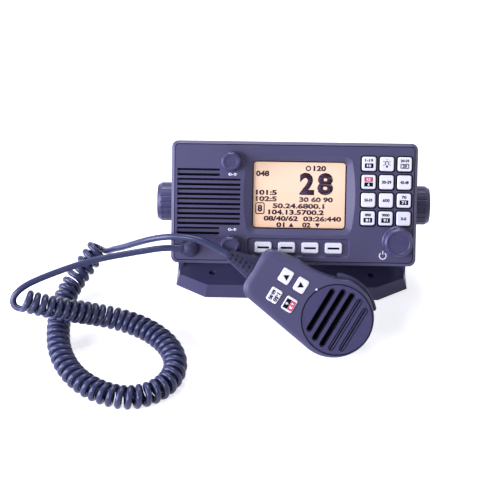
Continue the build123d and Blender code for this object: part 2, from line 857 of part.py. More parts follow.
keep(gimbal_bracket.part, "gimbal_bracket")

for side, hand in ((-1, "left"), (1, "right")):
    with BuildPart() as gimbal_knob:
        clamp = Plane(origin=pivot + Vector(side * (arm_outer + seat_gap), 0, 0), z_dir=(side, 0, 0))
        with BuildSketch(clamp):
            Circle(gimbal_knob_radius)
        extrude(amount=gimbal_knob_length)
        outer_face = gimbal_knob.faces().sort_by(Axis(pivot, (side, 0, 0)))[-1]
        chamfer(outer_face.edges(), gimbal_knob_taper, gimbal_knob_taper / 2)
        with BuildSketch(clamp.offset(gimbal_knob_collar)):
            with PolarLocations(gimbal_knob_radius + gimbal_flute_radius / 2, gimbal_flutes):
                Circle(gimbal_flute_radius)
        extrude(amount=gimbal_knob_length, mode=Mode.SUBTRACT)
        with BuildSketch(clamp):
            Circle(shaft_radius + shaft_fit)
        extrude(amount=stud_engage + small_edge, mode=Mode.SUBTRACT)
    keep(gimbal_knob.part, f"gimbal_knob_{hand}")
    # fixed in the chassis boss, and the knob turns on its outer end
    with BuildPart() as gimbal_stud:
        with BuildSketch(clamp.offset(stud_engage)):
            Circle(shaft_radius)
        extrude(amount=-(stud_engage + seat_gap + arm_thickness + stud_reach))
    keep(gimbal_stud.part, f"gimbal_stud_{hand}")

# ---- fist microphone, leaning on the radio's lower edge and standing on the table ----
turn = radians(mic_turn)
mic_long = Vector(cos(turn), 0, 0) - upward * sin(turn)  # from the grip to the grille
mic_cross = Vector(-sin(turn), 0, 0) - upward * cos(turn)
mic_back_slope = (mic_head_depth - mic_grip_depth) / mic_length
contact_depth = mic_grip_depth + mic_back_slope * mic_contact
mic_out = pivot_setback + contact_depth + mic_lean_gap
lowest = (
    -mic_head_drop * mic_long.Z
    - (mic_head_radius - mic_back_edge) * upward.Z
    - (mic_head_depth - mic_back_edge) * forward.Z
    - mic_back_edge
)
mic_level = (mic_floor_gap - lowest - pivot_height - mic_out * forward.Z) / upward.Z
mic_origin = pivot + forward * mic_out + upward * mic_level + Vector(mic_x, 0, 0)
mic = Plane(origin=mic_origin, x_dir=mic_cross, z_dir=forward)
mic_axis = Axis(mic_origin, forward)


def shell_outline(inset):
    """Round head, straight sides and a square grip, with a waist below the talk button."""
    corner_x = mic_grip_half - mic_grip_corner
    corner_y = mic_grip_corner - mic_length
    with BuildSketch() as outline:
        with BuildLine():
            CenterArc((0, -mic_head_drop), mic_head_radius - inset, 0, 360)
            CenterArc((-corner_x, corner_y), mic_grip_corner - inset, 0, 360)
            CenterArc((corner_x, corner_y), mic_grip_corner - inset, 0, 360)
        make_hull()
        with Locations((-waist_x, waist_y)):
            Circle(waist_radius + inset, mode=Mode.SUBTRACT)
    return outline.sketch


def talk_sector(end_gap, reach_in, reach_out):
    """Curved bar concentric with the head, where the talk button sits."""
    spare = end_gap / ptt_inner * 180 / pi
    start = ptt_start - spare
    sweep = ptt_sweep + 2 * spare
    with BuildSketch() as sector:
        with BuildLine():
            outer = CenterArc((0, -mic_head_drop), ptt_outer + reach_out, start, sweep)
            inner = CenterArc((0, -mic_head_drop), ptt_inner - reach_in, start, sweep)
            Line(outer @ 0, inner @ 0)
            Line(outer @ 1, inner @ 1)
        make_face()
    return sector.sketch


ptt_end_gap = ptt_gap + ptt_travel * sin(radians(ptt_sweep / 2))
mic_board_front = mic_face_wall + key_lip_thickness + key_travel + 3 * seat_gap
mic_post_places = [
    (x, mic_board_y + y) for x in (-mic_post_x, mic_post_x) for y in (-mic_post_y, mic_post_y)
]
mic_key_places = [
    (x, mic_key_top - row * mic_key_pitch) for row in (0, 1) for x in (-mic_key_x, mic_key_x)
]
with BuildPart() as mic_front_shell:
    with BuildSketch(mic):
        add(shell_outline(0))
    extrude(amount=-mic_seam)
    fillet(mic_front_shell.faces().sort_by(mic_axis)[-1].edges(), mic_edge)
    with BuildSketch(mic.offset(-mic_face_wall)):
        add(shell_outline(mic_wall))
    extrude(amount=mic_face_wall - mic_seam, mode=Mode.SUBTRACT)
    with BuildSketch(mic):
        Circle(grille_radius + grille_gap)
    extrude(amount=-grille_thickness, mode=Mode.SUBTRACT)
    with BuildSketch(mic):
        Circle(grille_radius - grille_shelf)
        with Locations(*mic_key_places):
            RectangleRounded(
                mic_key_width + 2 * key_gap, mic_key_height + 2 * key_gap, key_corner + key_gap
            )
    extrude(amount=-mic_face_wall, mode=Mode.SUBTRACT)
    with BuildSketch(mic.offset(ptt_gap - ptt_top)):
        add(talk_sector(ptt_end_gap, ptt_travel + ptt_gap, ptt_reach))
    extrude(amount=-mic_seam, mode=Mode.SUBTRACT)
    # posts of the key board
    with BuildSketch(mic.offset(-mic_face_wall)):
        with Locations(*mic_post_places):
            Circle(mic_post_radius)
    extrude(amount=mic_face_wall - mic_board_front)
keep(mic_front_shell.part, "mic_front_shell")

back_plane = Plane(
    origin=mic_origin - forward * mic_grip_depth - mic_long * mic_length,
    x_dir=mic_cross,
    z_dir=forward + mic_long * mic_back_slope,
)
with BuildPart() as mic_rear_shell:
    with BuildSketch(mic.offset(-mic_seam)):
        add(shell_outline(0))
    extrude(amount=mic_seam - mic_head_depth)
    split(bisect_by=back_plane, keep=Keep.TOP)
    back_faces = mic_rear_shell.faces().filter_by(GeomType.PLANE).sort_by(mic_axis)[0:2]
    shared = back_faces[0].edges().filter_by(lambda edge: edge in back_faces[1].edges())
    fillet(back_faces.edges().filter_by(lambda edge: edge not in shared), mic_back_edge)
    with BuildSketch(mic.offset(-mic_seam)):
        add(shell_outline(mic_wall))
    extrude(amount=mic_seam - mic_grip_depth + mic_wall, mode=Mode.SUBTRACT)
    with BuildSketch(mic.offset(-mic_seam)):
        with Locations((0, -mic_head_drop)):
            Circle(mic_head_radius - 3 * mic_wall)
    extrude(amount=mic_seam - mic_head_depth + 2 * mic_wall, mode=Mode.SUBTRACT)
    with BuildSketch(mic.offset(-mic_seam)):
        add(talk_sector(ptt_end_gap, ptt_travel + ptt_gap, ptt_reach))
    extrude(amount=mic_seam - ptt_top - ptt_height - ptt_gap, mode=Mode.SUBTRACT)
keep(mic_rear_shell.part, "mic_rear_shell")

with BuildPart() as mic_grille:
    with BuildSketch(mic.offset(seat_gap - grille_thickness)):
        Circle(grille_radius)
    extrude(amount=grille_thickness)
    for index in range(grille_slots):
        y = (index - (grille_slots - 1) / 2) * grille_slot_pitch
        length = 2 * (grille_slot_reach**2 - y**2) ** 0.5
        opening = grille_slot_width if index in grille_open_slots else grille_slot_narrow
        with BuildSketch(mic.offset(seat_gap)):
            with Locations((0, y)):
                SlotOverall(length, grille_slot_width + 2 * small_edge)
        extrude(amount=-small_edge, mode=Mode.SUBTRACT)
        with BuildSketch(mic.offset(seat_gap)):
            with Locations((0, y)):
                SlotOverall(length - 2 * small_edge, opening)
        extrude(amount=-grille_thickness, mode=Mode.SUBTRACT)
keep(mic_grille.part, "mic_grille")

with BuildPart() as microphone_insert:
    with BuildSketch(mic.offset(-mic_face_wall - seat_gap)):
        Circle(grille_radius - insert_margin)
    extrude(amount=-insert_depth)
    with BuildSketch(mic.offset(-mic_face_wall - seat_gap)):
        Circle(grille_radius - insert_dish_margin)
        Circle(insert_dome_radius, mode=Mode.SUBTRACT)
    extrude(amount=-insert_dish, mode=Mode.SUBTRACT)
keep(microphone_insert.part, "microphone_insert")

with BuildPart() as mic_board:
    with BuildSketch(mic.offset(-mic_board_front)):
        with Locations((0, mic_board_y)):
            Rectangle(mic_board_width, mic_board_length)
    extrude(amount=-board_thickness)
keep(mic_board.part, "mic_board")

for index, (x, y) in enumerate(mic_key_places):
    keep(
        key_cap(mic, x, y, mic_key_width, mic_key_height, mic_key_proud, mic_face_wall),
        f"mic_key_{index + 1}",
    )

with BuildPart() as talk_button:
    with BuildSketch(mic.offset(-ptt_top)):
        add(talk_sector(0, 0, 0))
    extrude(amount=-ptt_height)
    outside = talk_button.faces().filter_by(GeomType.CYLINDER).sort_by(SortBy.AREA)[-1]
    chamfer(outside.edges(), ptt_edge)
keep(talk_button.part, "talk_button")

stud_base = Plane(origin=mic_origin - forward * mic_head_depth + mic_long * stud_shift, z_dir=forward * -1)
with BuildPart() as hang_up_stud:
    with BuildSketch(stud_base):
        Circle(stud_neck_radius)
    extrude(amount=stud_neck)
    with BuildSketch(stud_base.offset(stud_neck)):
        Circle(stud_head_radius)
    extrude(amount=stud_head)
    chamfer(hang_up_stud.faces().sort_by(mic_axis)[0].edges(), small_edge)
keep(hang_up_stud.part, "hang_up_stud")

boot_root = Plane(
    origin=mic_origin - mic_long * mic_length - forward * (mic_grip_depth / 2),
    x_dir=mic_cross,
    z_dir=mic_long * -1,
)
boot_tip = boot_root.origin - mic_long * boot_length + forward * boot_rise
boot_end = Plane(origin=boot_tip, x_dir=mic_cross, z_dir=mic_long * -1)
with BuildPart() as strain_relief:
    with BuildSketch(boot_root):
        Ellipse(boot_width / 2, boot_thickness / 2)
    with BuildSketch(boot_end):
        Circle(boot_tip_radius)
    loft()
    # staggered windows on both broad sides let it bend
    for row in range(boot_rows):
        share = (row + 0.8) / (boot_rows + 0.6)
        along = mic_length + share * boot_length
        half = boot_thickness / 2 * (1 - share) + boot_tip_radius * share
        narrowing = 1 - share / 3
        cells = 3 - row // 3 + row % 2
        for side in (-1, 1):
            skin = mic.offset(side * (half + 1) + share * boot_rise - mic_grip_depth / 2)
            with BuildSketch(skin):
                with Locations((0, -along)):
                    with GridLocations(boot_cell_pitch * narrowing, 1, cells, 1):
                        Rectangle(boot_cell_width * narrowing, boot_cell_length)
            extrude(amount=-side * (boot_cell_depth + 1), mode=Mode.SUBTRACT)
keep(strain_relief.part, "strain_relief")

# ---- cord: two plain leads and the curly stretch between them ----
radio_lead_route = [
    gland_end - Vector(seat_gap, 0, 0),
    gland_end - Vector(lead_start, 0, 0),
    (-107, -60, 64.8),
    (-120.5, -61.5, 62.8),
    (-135, -63.5, 60.8),
    (-150, -66.5, 58.4),
    (-164, -70, 55.4),
    (-178, -74.5, 52),
    (-190, -79.5, 49.2),
    (-198.5, -86, 46.2),
]
curly_route = [
    (-202.5, -90.3, 42.9),
    (-185, -90, 36.5),
    (-164, -84.5, 26),
    (-145.5, -77, 15.5),
    (-127, -75.5, 9.2),
    (-106, -86, 9.2),
    (-89, -103, 9.2),
    (-82, -124, 9.2),
    (-90, -145, 9.2),
    (-111, -156.5, 9.2),
    (-134, -152, 9.2),
    (-156, -136, 9.2),
    (-170.5, -110, 9.2),
    (-175, -80, 9.2),
    (-174, -55, 10.5),
    (-167, -38, 16),
    (-158, -28, 24),
    (-149.5, -18.5, 33),
]
mic_lead_route = [
    boot_tip - mic_long * seat_gap,
    boot_tip - mic_long * lead_start,
    (-69, -64, 79.5),
    (-81, -61.2, 79.5),
    (-94, -57, 75.5),
    (-107, -51, 67.5),
    (-119, -43.5, 57),
    (-130, -35, 46),
    (-139.5, -27, 37),
    (-147.5, -21, 30.5),
]


def cord_tube(route, radius, name):
    """Round tube along straight runs joined by the largest tangent arcs that they allow."""
    points = [Vector(point) for point in route]
    runs = [end - start for start, end in zip(points, points[1:])]
    turns = [before.get_angle(after) for before, after in zip(runs, runs[1:])]
    bends = [
        0.45 * min(before.length, after.length) / tan(radians(turn / 2))
        for before, after, turn in zip(runs, runs[1:], turns)
    ]
    with BuildPart() as tube:
        with BuildLine() as path:
            FilletPolyline(*points, radius=bends)
        with BuildSketch(Plane(origin=points[0], z_dir=runs[0])):
            Circle(radius)
        sweep(path=path.wires()[0])
    length = path.wires()[0].length
    share = tube.part.volume / (pi * radius**2 * length)
    print(name, "length", round(length), "bends", [round(bend) for bend in bends], "volume", round(share, 4))
    keep(tube.part, name)


cord_tube(radio_lead_route, wire_radius, "cord_radio_lead")
cord_tube(curly_route, coil_radius, "cord_curly")
cord_tube(mic_lead_route, wire_radius, "cord_mic_lead")

# ---- export ----
os.makedirs("parts", exist_ok=True)
for name, piece in finished.items():
    export_step(piece, f"parts/{name}.step")
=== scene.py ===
import json
from math import cos, radians, sin

import bmesh
import bpy
from mathutils import Matrix, Vector
from mathutils.geometry import convex_hull_2d, intersect_point_line


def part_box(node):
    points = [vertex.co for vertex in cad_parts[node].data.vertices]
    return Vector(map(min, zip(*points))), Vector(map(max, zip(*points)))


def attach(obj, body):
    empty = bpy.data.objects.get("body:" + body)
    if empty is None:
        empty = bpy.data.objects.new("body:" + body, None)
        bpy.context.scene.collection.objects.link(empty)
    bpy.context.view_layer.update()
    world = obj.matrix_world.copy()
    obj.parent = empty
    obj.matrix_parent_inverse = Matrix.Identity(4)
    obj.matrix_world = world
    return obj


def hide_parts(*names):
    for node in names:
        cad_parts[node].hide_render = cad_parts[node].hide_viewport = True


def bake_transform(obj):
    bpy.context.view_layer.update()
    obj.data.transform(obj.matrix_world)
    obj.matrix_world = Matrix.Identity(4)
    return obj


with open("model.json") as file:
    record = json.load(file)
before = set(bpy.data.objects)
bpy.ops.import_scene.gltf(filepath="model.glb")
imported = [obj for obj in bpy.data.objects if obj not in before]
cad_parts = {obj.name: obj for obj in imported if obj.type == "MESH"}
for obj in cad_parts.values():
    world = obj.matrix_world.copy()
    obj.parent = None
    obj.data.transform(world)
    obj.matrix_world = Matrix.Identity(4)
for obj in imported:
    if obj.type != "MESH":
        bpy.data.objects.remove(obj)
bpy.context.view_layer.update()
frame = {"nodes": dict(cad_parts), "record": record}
nodes = frame["nodes"]
scene = bpy.context.scene
scene.view_settings.view_transform = "Standard"
mm = 0.001

# the head leans back by this angle, and the microphone's face is parallel to its front
tilt = radians(35)
forward = Vector((0, -cos(tilt), sin(tilt)))
upward = Vector((0, sin(tilt), cos(tilt)))
across = Vector((1, 0, 0))
pivot = Vector((0, 0, 64)) * mm
micTurn = radians(30.2)
micLong = across * cos(micTurn) - upward * sin(micTurn)
micCross = across * -sin(micTurn) - upward * cos(micTurn)


def onPlane(middle, right, along, out):  # millimetres on a plane to metres in the frame
    turned = Matrix((right, along, out)).transposed().to_4x4()
    return Matrix.Translation(middle) @ turned @ Matrix.Scale(mm, 4)


def at(plane, x, y, out):  # the same plane, moved on itself
    return plane @ Matrix.Translation((x, y, out))


faceMiddle = {"ahead": 45, "above": 2}  # of the radio's face, from the pivot
faceSpot = pivot + (forward * faceMiddle["ahead"] + upward * faceMiddle["above"]) * mm
facePlane = onPlane(faceSpot, across, upward, forward)
grilleLow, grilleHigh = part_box("mic_grille")
# the grille is 2 mm thick, so its face is 1 mm before its middle
micPlane = onPlane((grilleLow + grilleHigh) / 2 + forward * mm, micCross, micLong, forward)

camera = {  # all in millimetres
    "place": (-12.9, -765.8, 659.2),
    "target": (-33.1, 0, 16.4),
    "lens": 90.86,
    "sensor": 36.0,
}
cameraData = bpy.data.cameras.new("camera")
cameraData.lens = camera["lens"]
cameraData.sensor_width = camera["sensor"]
cameraObject = bpy.data.objects.new("camera", cameraData)
scene.collection.objects.link(cameraObject)
cameraObject.location = Vector(camera["place"]) * mm
sight = Vector(camera["target"]) - Vector(camera["place"])
cameraObject.rotation_euler = sight.to_track_quat("-Z", "Y").to_euler()
scene.camera = cameraObject
print("camera placed")


def linearColour(code):  # sRGB hex to linear
    values = [int(code[i : i + 2], 16) / 255 for i in (1, 3, 5)]
    return [v / 12.92 if v <= 0.04045 else ((v + 0.055) / 1.055) ** 2.4 for v in values] + [1.0]


def addNode(tree, kind, settings=None, inputs=None):  # an input is a value, or a socket to link from
    made = tree.nodes.new(kind)
    for name, value in (settings or {}).items():
        setattr(made, name, value)
    for name, value in (inputs or {}).items():
        if isinstance(value, bpy.types.NodeSocket):
            tree.links.new(value, made.inputs[name])
        else:
            made.inputs[name].default_value = value
    return made


def startMaterial(name, colour):
    made = bpy.data.materials.new(name)
    made.use_nodes = True
    made.node_tree.nodes.clear()
    made.diffuse_color = linearColour(colour)
    return made, made.node_tree


# two tones, millimetres of the clouds between them, grain in millimetres and its strength,
# roughness, and gloss as the level of the reflection; a real moulded grain is a tenth of a
# millimetre or less, which wouldn't show, so the grains are drawn coarser
finishes = {
    # ABS, moulded in a spark-eroded tool: a fine satin grain that breaks up the light
    "mouldedAbs": {
        "light": "#524f6d", "dark": "#464360", "cloud": 40,
        "grain": 0.5, "bump": 0.2, "rough": 0.34, "gloss": 0.28,
    },
    # glass-filled nylon, a little duller and cloudier where the fill shows
    "filledNylon": {
        "light": "#504e6f", "dark": "#434160", "cloud": 25,
        "grain": 0.6, "bump": 0.25, "rough": 0.36, "gloss": 0.28,
    },
    # ABS knob, polished flutes over a satin cap
    "satinAbs": {
        "light": "#49466a", "dark": "#3c3a59", "cloud": 12,
        "grain": 0.4, "bump": 0.1, "rough": 0.28, "gloss": 0.28,
    },
    # diecast aluminium under powder coat: an orange-peel skin
    "powderCoat": {
        "light": "#59567a", "dark": "#4d4a6c", "cloud": 30,
        "grain": 0.9, "bump": 0.5, "rough": 0.5, "gloss": 0.28,
    },
    # closed-cell foam, matt and black
    "foamRubber": {
        "light": "#26262a", "dark": "#1b1b1e", "cloud": 3,
        "grain": 0.5, "bump": 0.8, "rough": 0.9, "gloss": 0.28,
    },
    # moulded neoprene: dark with a soft sheen
    "neoprene": {
        "light": "#363552", "dark": "#2a2942", "cloud": 8,
        "grain": 0.4, "bump": 0.3, "rough": 0.55, "gloss": 0.28,
    },
    # white silicone-skinned key caps, nearly even
    "satinWhite": {
        "light": "#f4f4f8", "dark": "#ecebf2", "cloud": 6,
        "grain": 0.3, "bump": 0.12, "rough": 0.4, "gloss": 0.28,
    },
    # speaker basket and paper cone, sprayed black: matt, with hardly a gleam
    "sprayedBlack": {
        "light": "#17161d", "dark": "#0e0d13", "cloud": 5,
        "grain": 0.4, "bump": 0.4, "rough": 0.6, "gloss": 0.08,
    },
    # polyurethane jacket, extruded: smooth with a slight waviness
    "urethane": {
        "light": "#31365a", "dark": "#262a4c", "cloud": 9,
        "grain": 1.2, "bump": 0.06, "rough": 0.26, "gloss": 0.38,
    },
    # solder mask over glass-epoxy laminate: a smooth green skin
    "solderMask": {
        "light": "#1f7a4a", "dark": "#155a36", "cloud": 4,
        "grain": 0.5, "bump": 0.2, "rough": 0.35, "gloss": 0.28,
    },
    # silicone keypad sheet: pale, soft and matt
    "silicone": {
        "light": "#cfcfcc", "dark": "#bdbdb9", "cloud": 8,
        "grain": 0.4, "bump": 0.2, "rough": 0.6, "gloss": 0.28,
    },
    # foam-backed cloth behind the microphone's slots and the louvres, nearly black
    "cloth": {
        "light": "#15141c", "dark": "#0b0a10", "cloud": 3,
        "grain": 0.5, "bump": 0.4, "rough": 0.9, "gloss": 0.05,
    },
    # screen-printed inks, thin and slightly uneven
    "blackInk": {
        "light": "#100f18", "dark": "#0a0910", "cloud": 2,
        "grain": 0.3, "bump": 0.1, "rough": 0.6, "gloss": 0.06,
    },
    "redInk": {
        "light": "#dc4e6c", "dark": "#cf4060", "cloud": 2,
        "grain": 0.3, "bump": 0.1, "rough": 0.5, "gloss": 0.28,
    },
    "whiteInk": {
        "light": "#f6f5fb", "dark": "#e9e8f2", "cloud": 2,
        "grain": 0.3, "bump": 0.1, "rough": 0.5, "gloss": 0.28,
    },
    # liquid crystal cells that are switched on, violet against the backlight
    "darkCells": {
        "light": "#3a1a38", "dark": "#2f142e", "cloud": 2,
        "grain": 0.3, "bump": 0.0, "rough": 0.3, "gloss": 0.1,
    },
}
wear = 0.06  # how far handling takes the roughness either way


def mouldedMaterial(name, look):
    made, tree = startMaterial(name, look["light"])
    place = addNode(tree, "ShaderNodeTexCoord").outputs["Object"]
    cloudy = {"Vector": place, "Scale": 1 / (look["cloud"] * mm), "Detail": 2.0}
    clouds = addNode(tree, "ShaderNodeTexNoise", None, cloudy)
    grainy = {"Vector": place, "Scale": 1 / (look["grain"] * mm), "Detail": 3.0}
    grain = addNode(tree, "ShaderNodeTexNoise", None, grainy)
    tones = {0: clouds.outputs[0], 6: linearColour(look["dark"]), 7: linearColour(look["light"])}
    tone = addNode(tree, "ShaderNodeMix", {"data_type": "RGBA"}, tones)
    height = {"Height": grain.outputs[0], "Distance": look["grain"] * mm / 4, "Strength": look["bump"]}
    bump = addNode(tree, "ShaderNodeBump", None, height)  # a quarter of a grain high
    ends = {"Value": clouds.outputs[0], "To Min": look["rough"] - wear, "To Max": look["rough"] + wear}
    rough = addNode(tree, "ShaderNodeMapRange", None, ends)
    skin = {"Base Color": tone.outputs[2], "Roughness": rough.outputs[0], "Normal": bump.outputs[0]}
    skin["Specular IOR Level"] = look["gloss"]
    shader = addNode(tree, "ShaderNodeBsdfPrincipled", None, skin)
    addNode(tree, "ShaderNodeOutputMaterial", None, {"Surface": shader.outputs[0]})
    return made


# tones, roughness and millimetres between the lathe's rings; real rings are too fine to show,
# so these are drawn wider
metals = {
    # mild steel turned on a lathe: fine rings and a soft grey gleam
    "machinedSteel": {"light": "#b9b8bd", "dark": "#8f8e95", "rough": 0.32, "line": 0.4},
    # turned brass under nickel plate: warmer, brighter and smoother
    "nickelPlate": {"light": "#d8d6d2", "dark": "#b7b4b0", "rough": 0.2, "line": 0.5},
}


def turnedMetal(name, look):  # rings of a lathe tool across the surface
    made, tree = startMaterial(name, look["light"])
    place = addNode(tree, "ShaderNodeTexCoord").outputs["Object"]
    lines = {"Vector": place, "Scale": 1 / (look["line"] * mm), "Distortion": 1.5, "Detail": 2.0}
    waves = addNode(tree, "ShaderNodeTexWave", {"bands_direction": "Z"}, lines)
    tones = {0: waves.outputs[1], 6: linearColour(look["dark"]), 7: linearColour(look["light"])}
    tone = addNode(tree, "ShaderNodeMix", {"data_type": "RGBA"}, tones)
    height = {"Height": waves.outputs[1], "Distance": look["line"] * mm / 10, "Strength": 0.2}
    bump = addNode(tree, "ShaderNodeBump", None, height)  # a tenth of a ring deep
    skin = {
        "Base Color": tone.outputs[2],
        "Metallic": 1.0,
        "Roughness": look["rough"],
        "Normal": bump.outputs[0],
    }
    shader = addNode(tree, "ShaderNodeBsdfPrincipled", None, skin)
    addNode(tree, "ShaderNodeOutputMaterial", None, {"Surface": shader.outputs[0]})
    return made


backlight = {  # heights and cloud size in millimetres
    "low": "#d9ac8a",
    "high": "#e8c8a9",
    "glow": 0.42,
    "bottom": 60,
    "top": 112,
    "cloud": 18,
    "cloudShare": 0.35,
    "rough": 0.35,
}


def backlitScreen(name, look):  # a diffuser sheet behind liquid crystal, brighter towards the top
    made, tree = startMaterial(name, look["high"])
    place = addNode(tree, "ShaderNodeTexCoord").outputs["Object"]
    height = addNode(tree, "ShaderNodeSeparateXYZ", None, {"Vector": place}).outputs["Z"]
    ends = {"Value": height, "From Min": look["bottom"] * mm, "From Max": look["top"] * mm}
    rise = addNode(tree, "ShaderNodeMapRange", None, ends)
    cloudy = {"Vector": place, "Scale": 1 / (look["cloud"] * mm), "Detail": 1.0}
    clouds = addNode(tree, "ShaderNodeTexNoise", None, cloudy)
    adding = {"operation": "MULTIPLY_ADD", "use_clamp": True}
    shares = {0: clouds.outputs[0], 1: look["cloudShare"], 2: rise.outputs[0]}
    uneven = addNode(tree, "ShaderNodeMath", adding, shares)
    tones = {0: uneven.outputs[0], 6: linearColour(look["low"]), 7: linearColour(look["high"])}
    tone = addNode(tree, "ShaderNodeMix", {"data_type": "RGBA"}, tones)
    skin = {
        "Base Color": tone.outputs[2],
        "Emission Color": tone.outputs[2],
        "Emission Strength": look["glow"],
        "Roughness": look["rough"],
    }
    shader = addNode(tree, "ShaderNodeBsdfPrincipled", None, skin)
    addNode(tree, "ShaderNodeOutputMaterial", None, {"Surface": shader.outputs[0]})
    return made


hardCoat = {
    "tint": "#f2eeee",
    "cloud": 30,  # millimetres
    "thinnest": 0.008,  # how much of the sheet shows, from place to place
    "thickest": 0.025,
    "rough": 0.08,
    "ior": 1.58,
}


def clearWindow(name, look):  # polycarbonate sheet with a hard coat: nearly invisible but for its gloss
    made, tree = startMaterial(name, look["tint"])
    place = addNode(tree, "ShaderNodeTexCoord").outputs["Object"]
    cloudy = {"Vector": place, "Scale": 1 / (look["cloud"] * mm), "Detail": 1.0}
    haze = addNode(tree, "ShaderNodeTexNoise", None, cloudy)
    ends = {"Value": haze.outputs[0], "To Min": look["thinnest"], "To Max": look["thickest"]}
    thin = addNode(tree, "ShaderNodeMapRange", None, ends)
    skin = {
        "Base Color": linearColour(look["tint"]),
        "Alpha": thin.outputs[0],
        "Roughness": look["rough"],
        "IOR": look["ior"],
    }
    shader = addNode(tree, "ShaderNodeBsdfPrincipled", None, skin)
    addNode(tree, "ShaderNodeOutputMaterial", None, {"Surface": shader.outputs[0]})
    return made


materials = {name: mouldedMaterial(name, look) for name, look in finishes.items()}
materials.update({name: turnedMetal(name, look) for name, look in metals.items()})
materials["backlitScreen"] = backlitScreen("backlitScreen", backlight)
materials["clearWindow"] = clearWindow("clearWindow", hardCoat)

finishOfSlot = {
    "panel_plastic": "mouldedAbs",
    "bracket_plastic": "filledNylon",
    "knob_plastic": "satinAbs",
    "chassis_paint": "powderCoat",
    "seal_rubber": "foamRubber",
    "lens_glass": "clearWindow",
    "screen": "backlitScreen",
    "board_green": "solderMask",
    "mat_rubber": "silicone",
    "key_white": "satinWhite",
    "speaker_black": "sprayedBlack",
    "metal": "machinedSteel",
    "nickel": "nickelPlate",
    "gland_rubber": "neoprene",
    "handset_plastic": "mouldedAbs",
    "grille_plastic": "satinAbs",
    "insert_black": "cloth",
    "cord_jacket": "urethane",
}
for part in frame["record"]["subparts"]:
    node = nodes[part["node"]]
    node.data.materials.clear()
    node.data.materials.append(materials[finishOfSlot[part["material_slot"]]])
print("materials made")


# the route of each length, in millimetres, from the radio's gland and back to the microphone's boot
radioLead = [
    (-82.15, -59.19, 66.99),
    (-94.1, -59.19, 66.99),
    (-107, -60, 64.8),
    (-120.5, -61.5, 62.8),
    (-135, -63.5, 60.8),
    (-150, -66.5, 58.4),
    (-164, -70, 55.4),
    (-178, -74.5, 52),
]
curl = [  # the lead goes round the start of the coil once
    (-190.5, -79.5, 49.1),
    (-197.8, -84, 46.7),
    (-202.9, -87, 42.3),
    (-204.1, -89.5, 38.4),
    (-201.9, -92, 35.2),
]
coilRoute = [
    (-202.5, -90.3, 42.9),
    (-185, -90, 36.5),
    (-164, -84.5, 26),
    (-145.5, -77, 15.5),
    (-127, -75.5, 9.2),
    (-106, -86, 9.2),
    (-89, -103, 9.2),
    (-82, -124, 9.2),
    (-90, -145, 9.2),
    (-111, -156.5, 9.2),
    (-134, -152, 9.2),
    (-156, -136, 9.2),
    (-170.5, -110, 9.2),
    (-175, -80, 9.2),
    (-174, -55, 10.5),
    (-167, -38, 16),
    (-158, -28, 24),
    (-149.5, -18.5, 33),
]
micLead = [  # from the coil's last turn
    (-142.5, -22.5, 31.5),
    (-137.5, -28, 38.5),
    (-130, -35, 46),
    (-119, -43.5, 57),
    (-107, -51, 67.5),
    (-94, -57, 75.5),
    (-81, -61.2, 79.5),
    (-69, -64, 79.5),
    (-57.14, -66.63, 75.72),
    (-46.81, -70.09, 70.8),
]
coil = {
    "radius": 6.55,  # of the wire's middle
    "turns": 60.917,
    "steps": 16,  # points in a turn
    "start": 8.0,  # millimetres of the route left free before and after the coil
    "end": 0.5,
    "firstPhase": 150,  # degrees
    "spread": 0.08,
    "split": 30,  # turns in the radio's half
    "routeSteps": 24,  # points to a span of the route
}
wire = {"diameter": 4.9, "steps": 3, "bevelResolution": 3}  # steps: points to a span of the route


def splineObject(name, points, diameter=0.0, resolution=wire["steps"]):
    data = bpy.data.curves.new(name, "CURVE")
    data.dimensions = "3D"
    data.resolution_u = resolution
    spline = data.splines.new("NURBS")
    spline.points.add(len(points) - 1)
    for target, point in zip(spline.points, points):
        target.co = (*point, 1)
    spline.order_u = 3
    spline.use_endpoint_u = True
    spline.resolution_u = resolution
    data.bevel_depth = diameter / 2
    data.bevel_resolution = wire["bevelResolution"]
    data.use_fill_caps = diameter > 0
    return bpy.data.objects.new(name, data)


def pointsAlong(splineOwner):
    flat = bpy.data.meshes.new_from_object(splineOwner)
    return [vertex.co.copy() for vertex in flat.vertices]


coilAxis = splineObject("coilAxis", [Vector(p) * mm for p in coilRoute], resolution=coil["routeSteps"])
axisPoints = pointsAlong(coilAxis)
reach = [0.0]
for before, after in zip(axisPoints, axisPoints[1:]):
    reach.append(reach[-1] + (after - before).length)


def onAxis(distance):  # a point of the coil's route, and the way on from there
    index = next((i for i, total in enumerate(reach) if total > distance), len(reach) - 1)
    share = (distance - reach[index - 1]) / (reach[index] - reach[index - 1])
    before, after = axisPoints[index - 1], axisPoints[index]
    return before.lerp(after, share), after - before


helix = []
count = round(coil["turns"] * coil["steps"])
startAt = coil["start"] * mm
span = reach[-1] - coil["end"] * mm - startAt
normal = Vector((0, 0, 1))
for step in range(count + 1):
    share = step / count
    share = share * (1 - coil["spread"]) + share * share * coil["spread"]  # the first turns lie closer
    middle, ahead = onAxis(startAt + span * share)
    ahead.normalize()
    normal = (normal - ahead * normal.dot(ahead)).normalized()  # carried along without twisting
    side = ahead.cross(normal)
    phase = radians(coil["firstPhase"] - 360 / coil["steps"] * step)
    helix.append(middle + (normal * cos(phase) + side * sin(phase)) * coil["radius"] * mm)

master = [Vector(p) * mm for p in radioLead + curl] + helix + [Vector(p) * mm for p in micLead]
cut = len(radioLead) + len(curl) + coil["split"] * coil["steps"]
joint = (master[cut] + master[cut + 1]) / 2  # both halves meet on the same curve
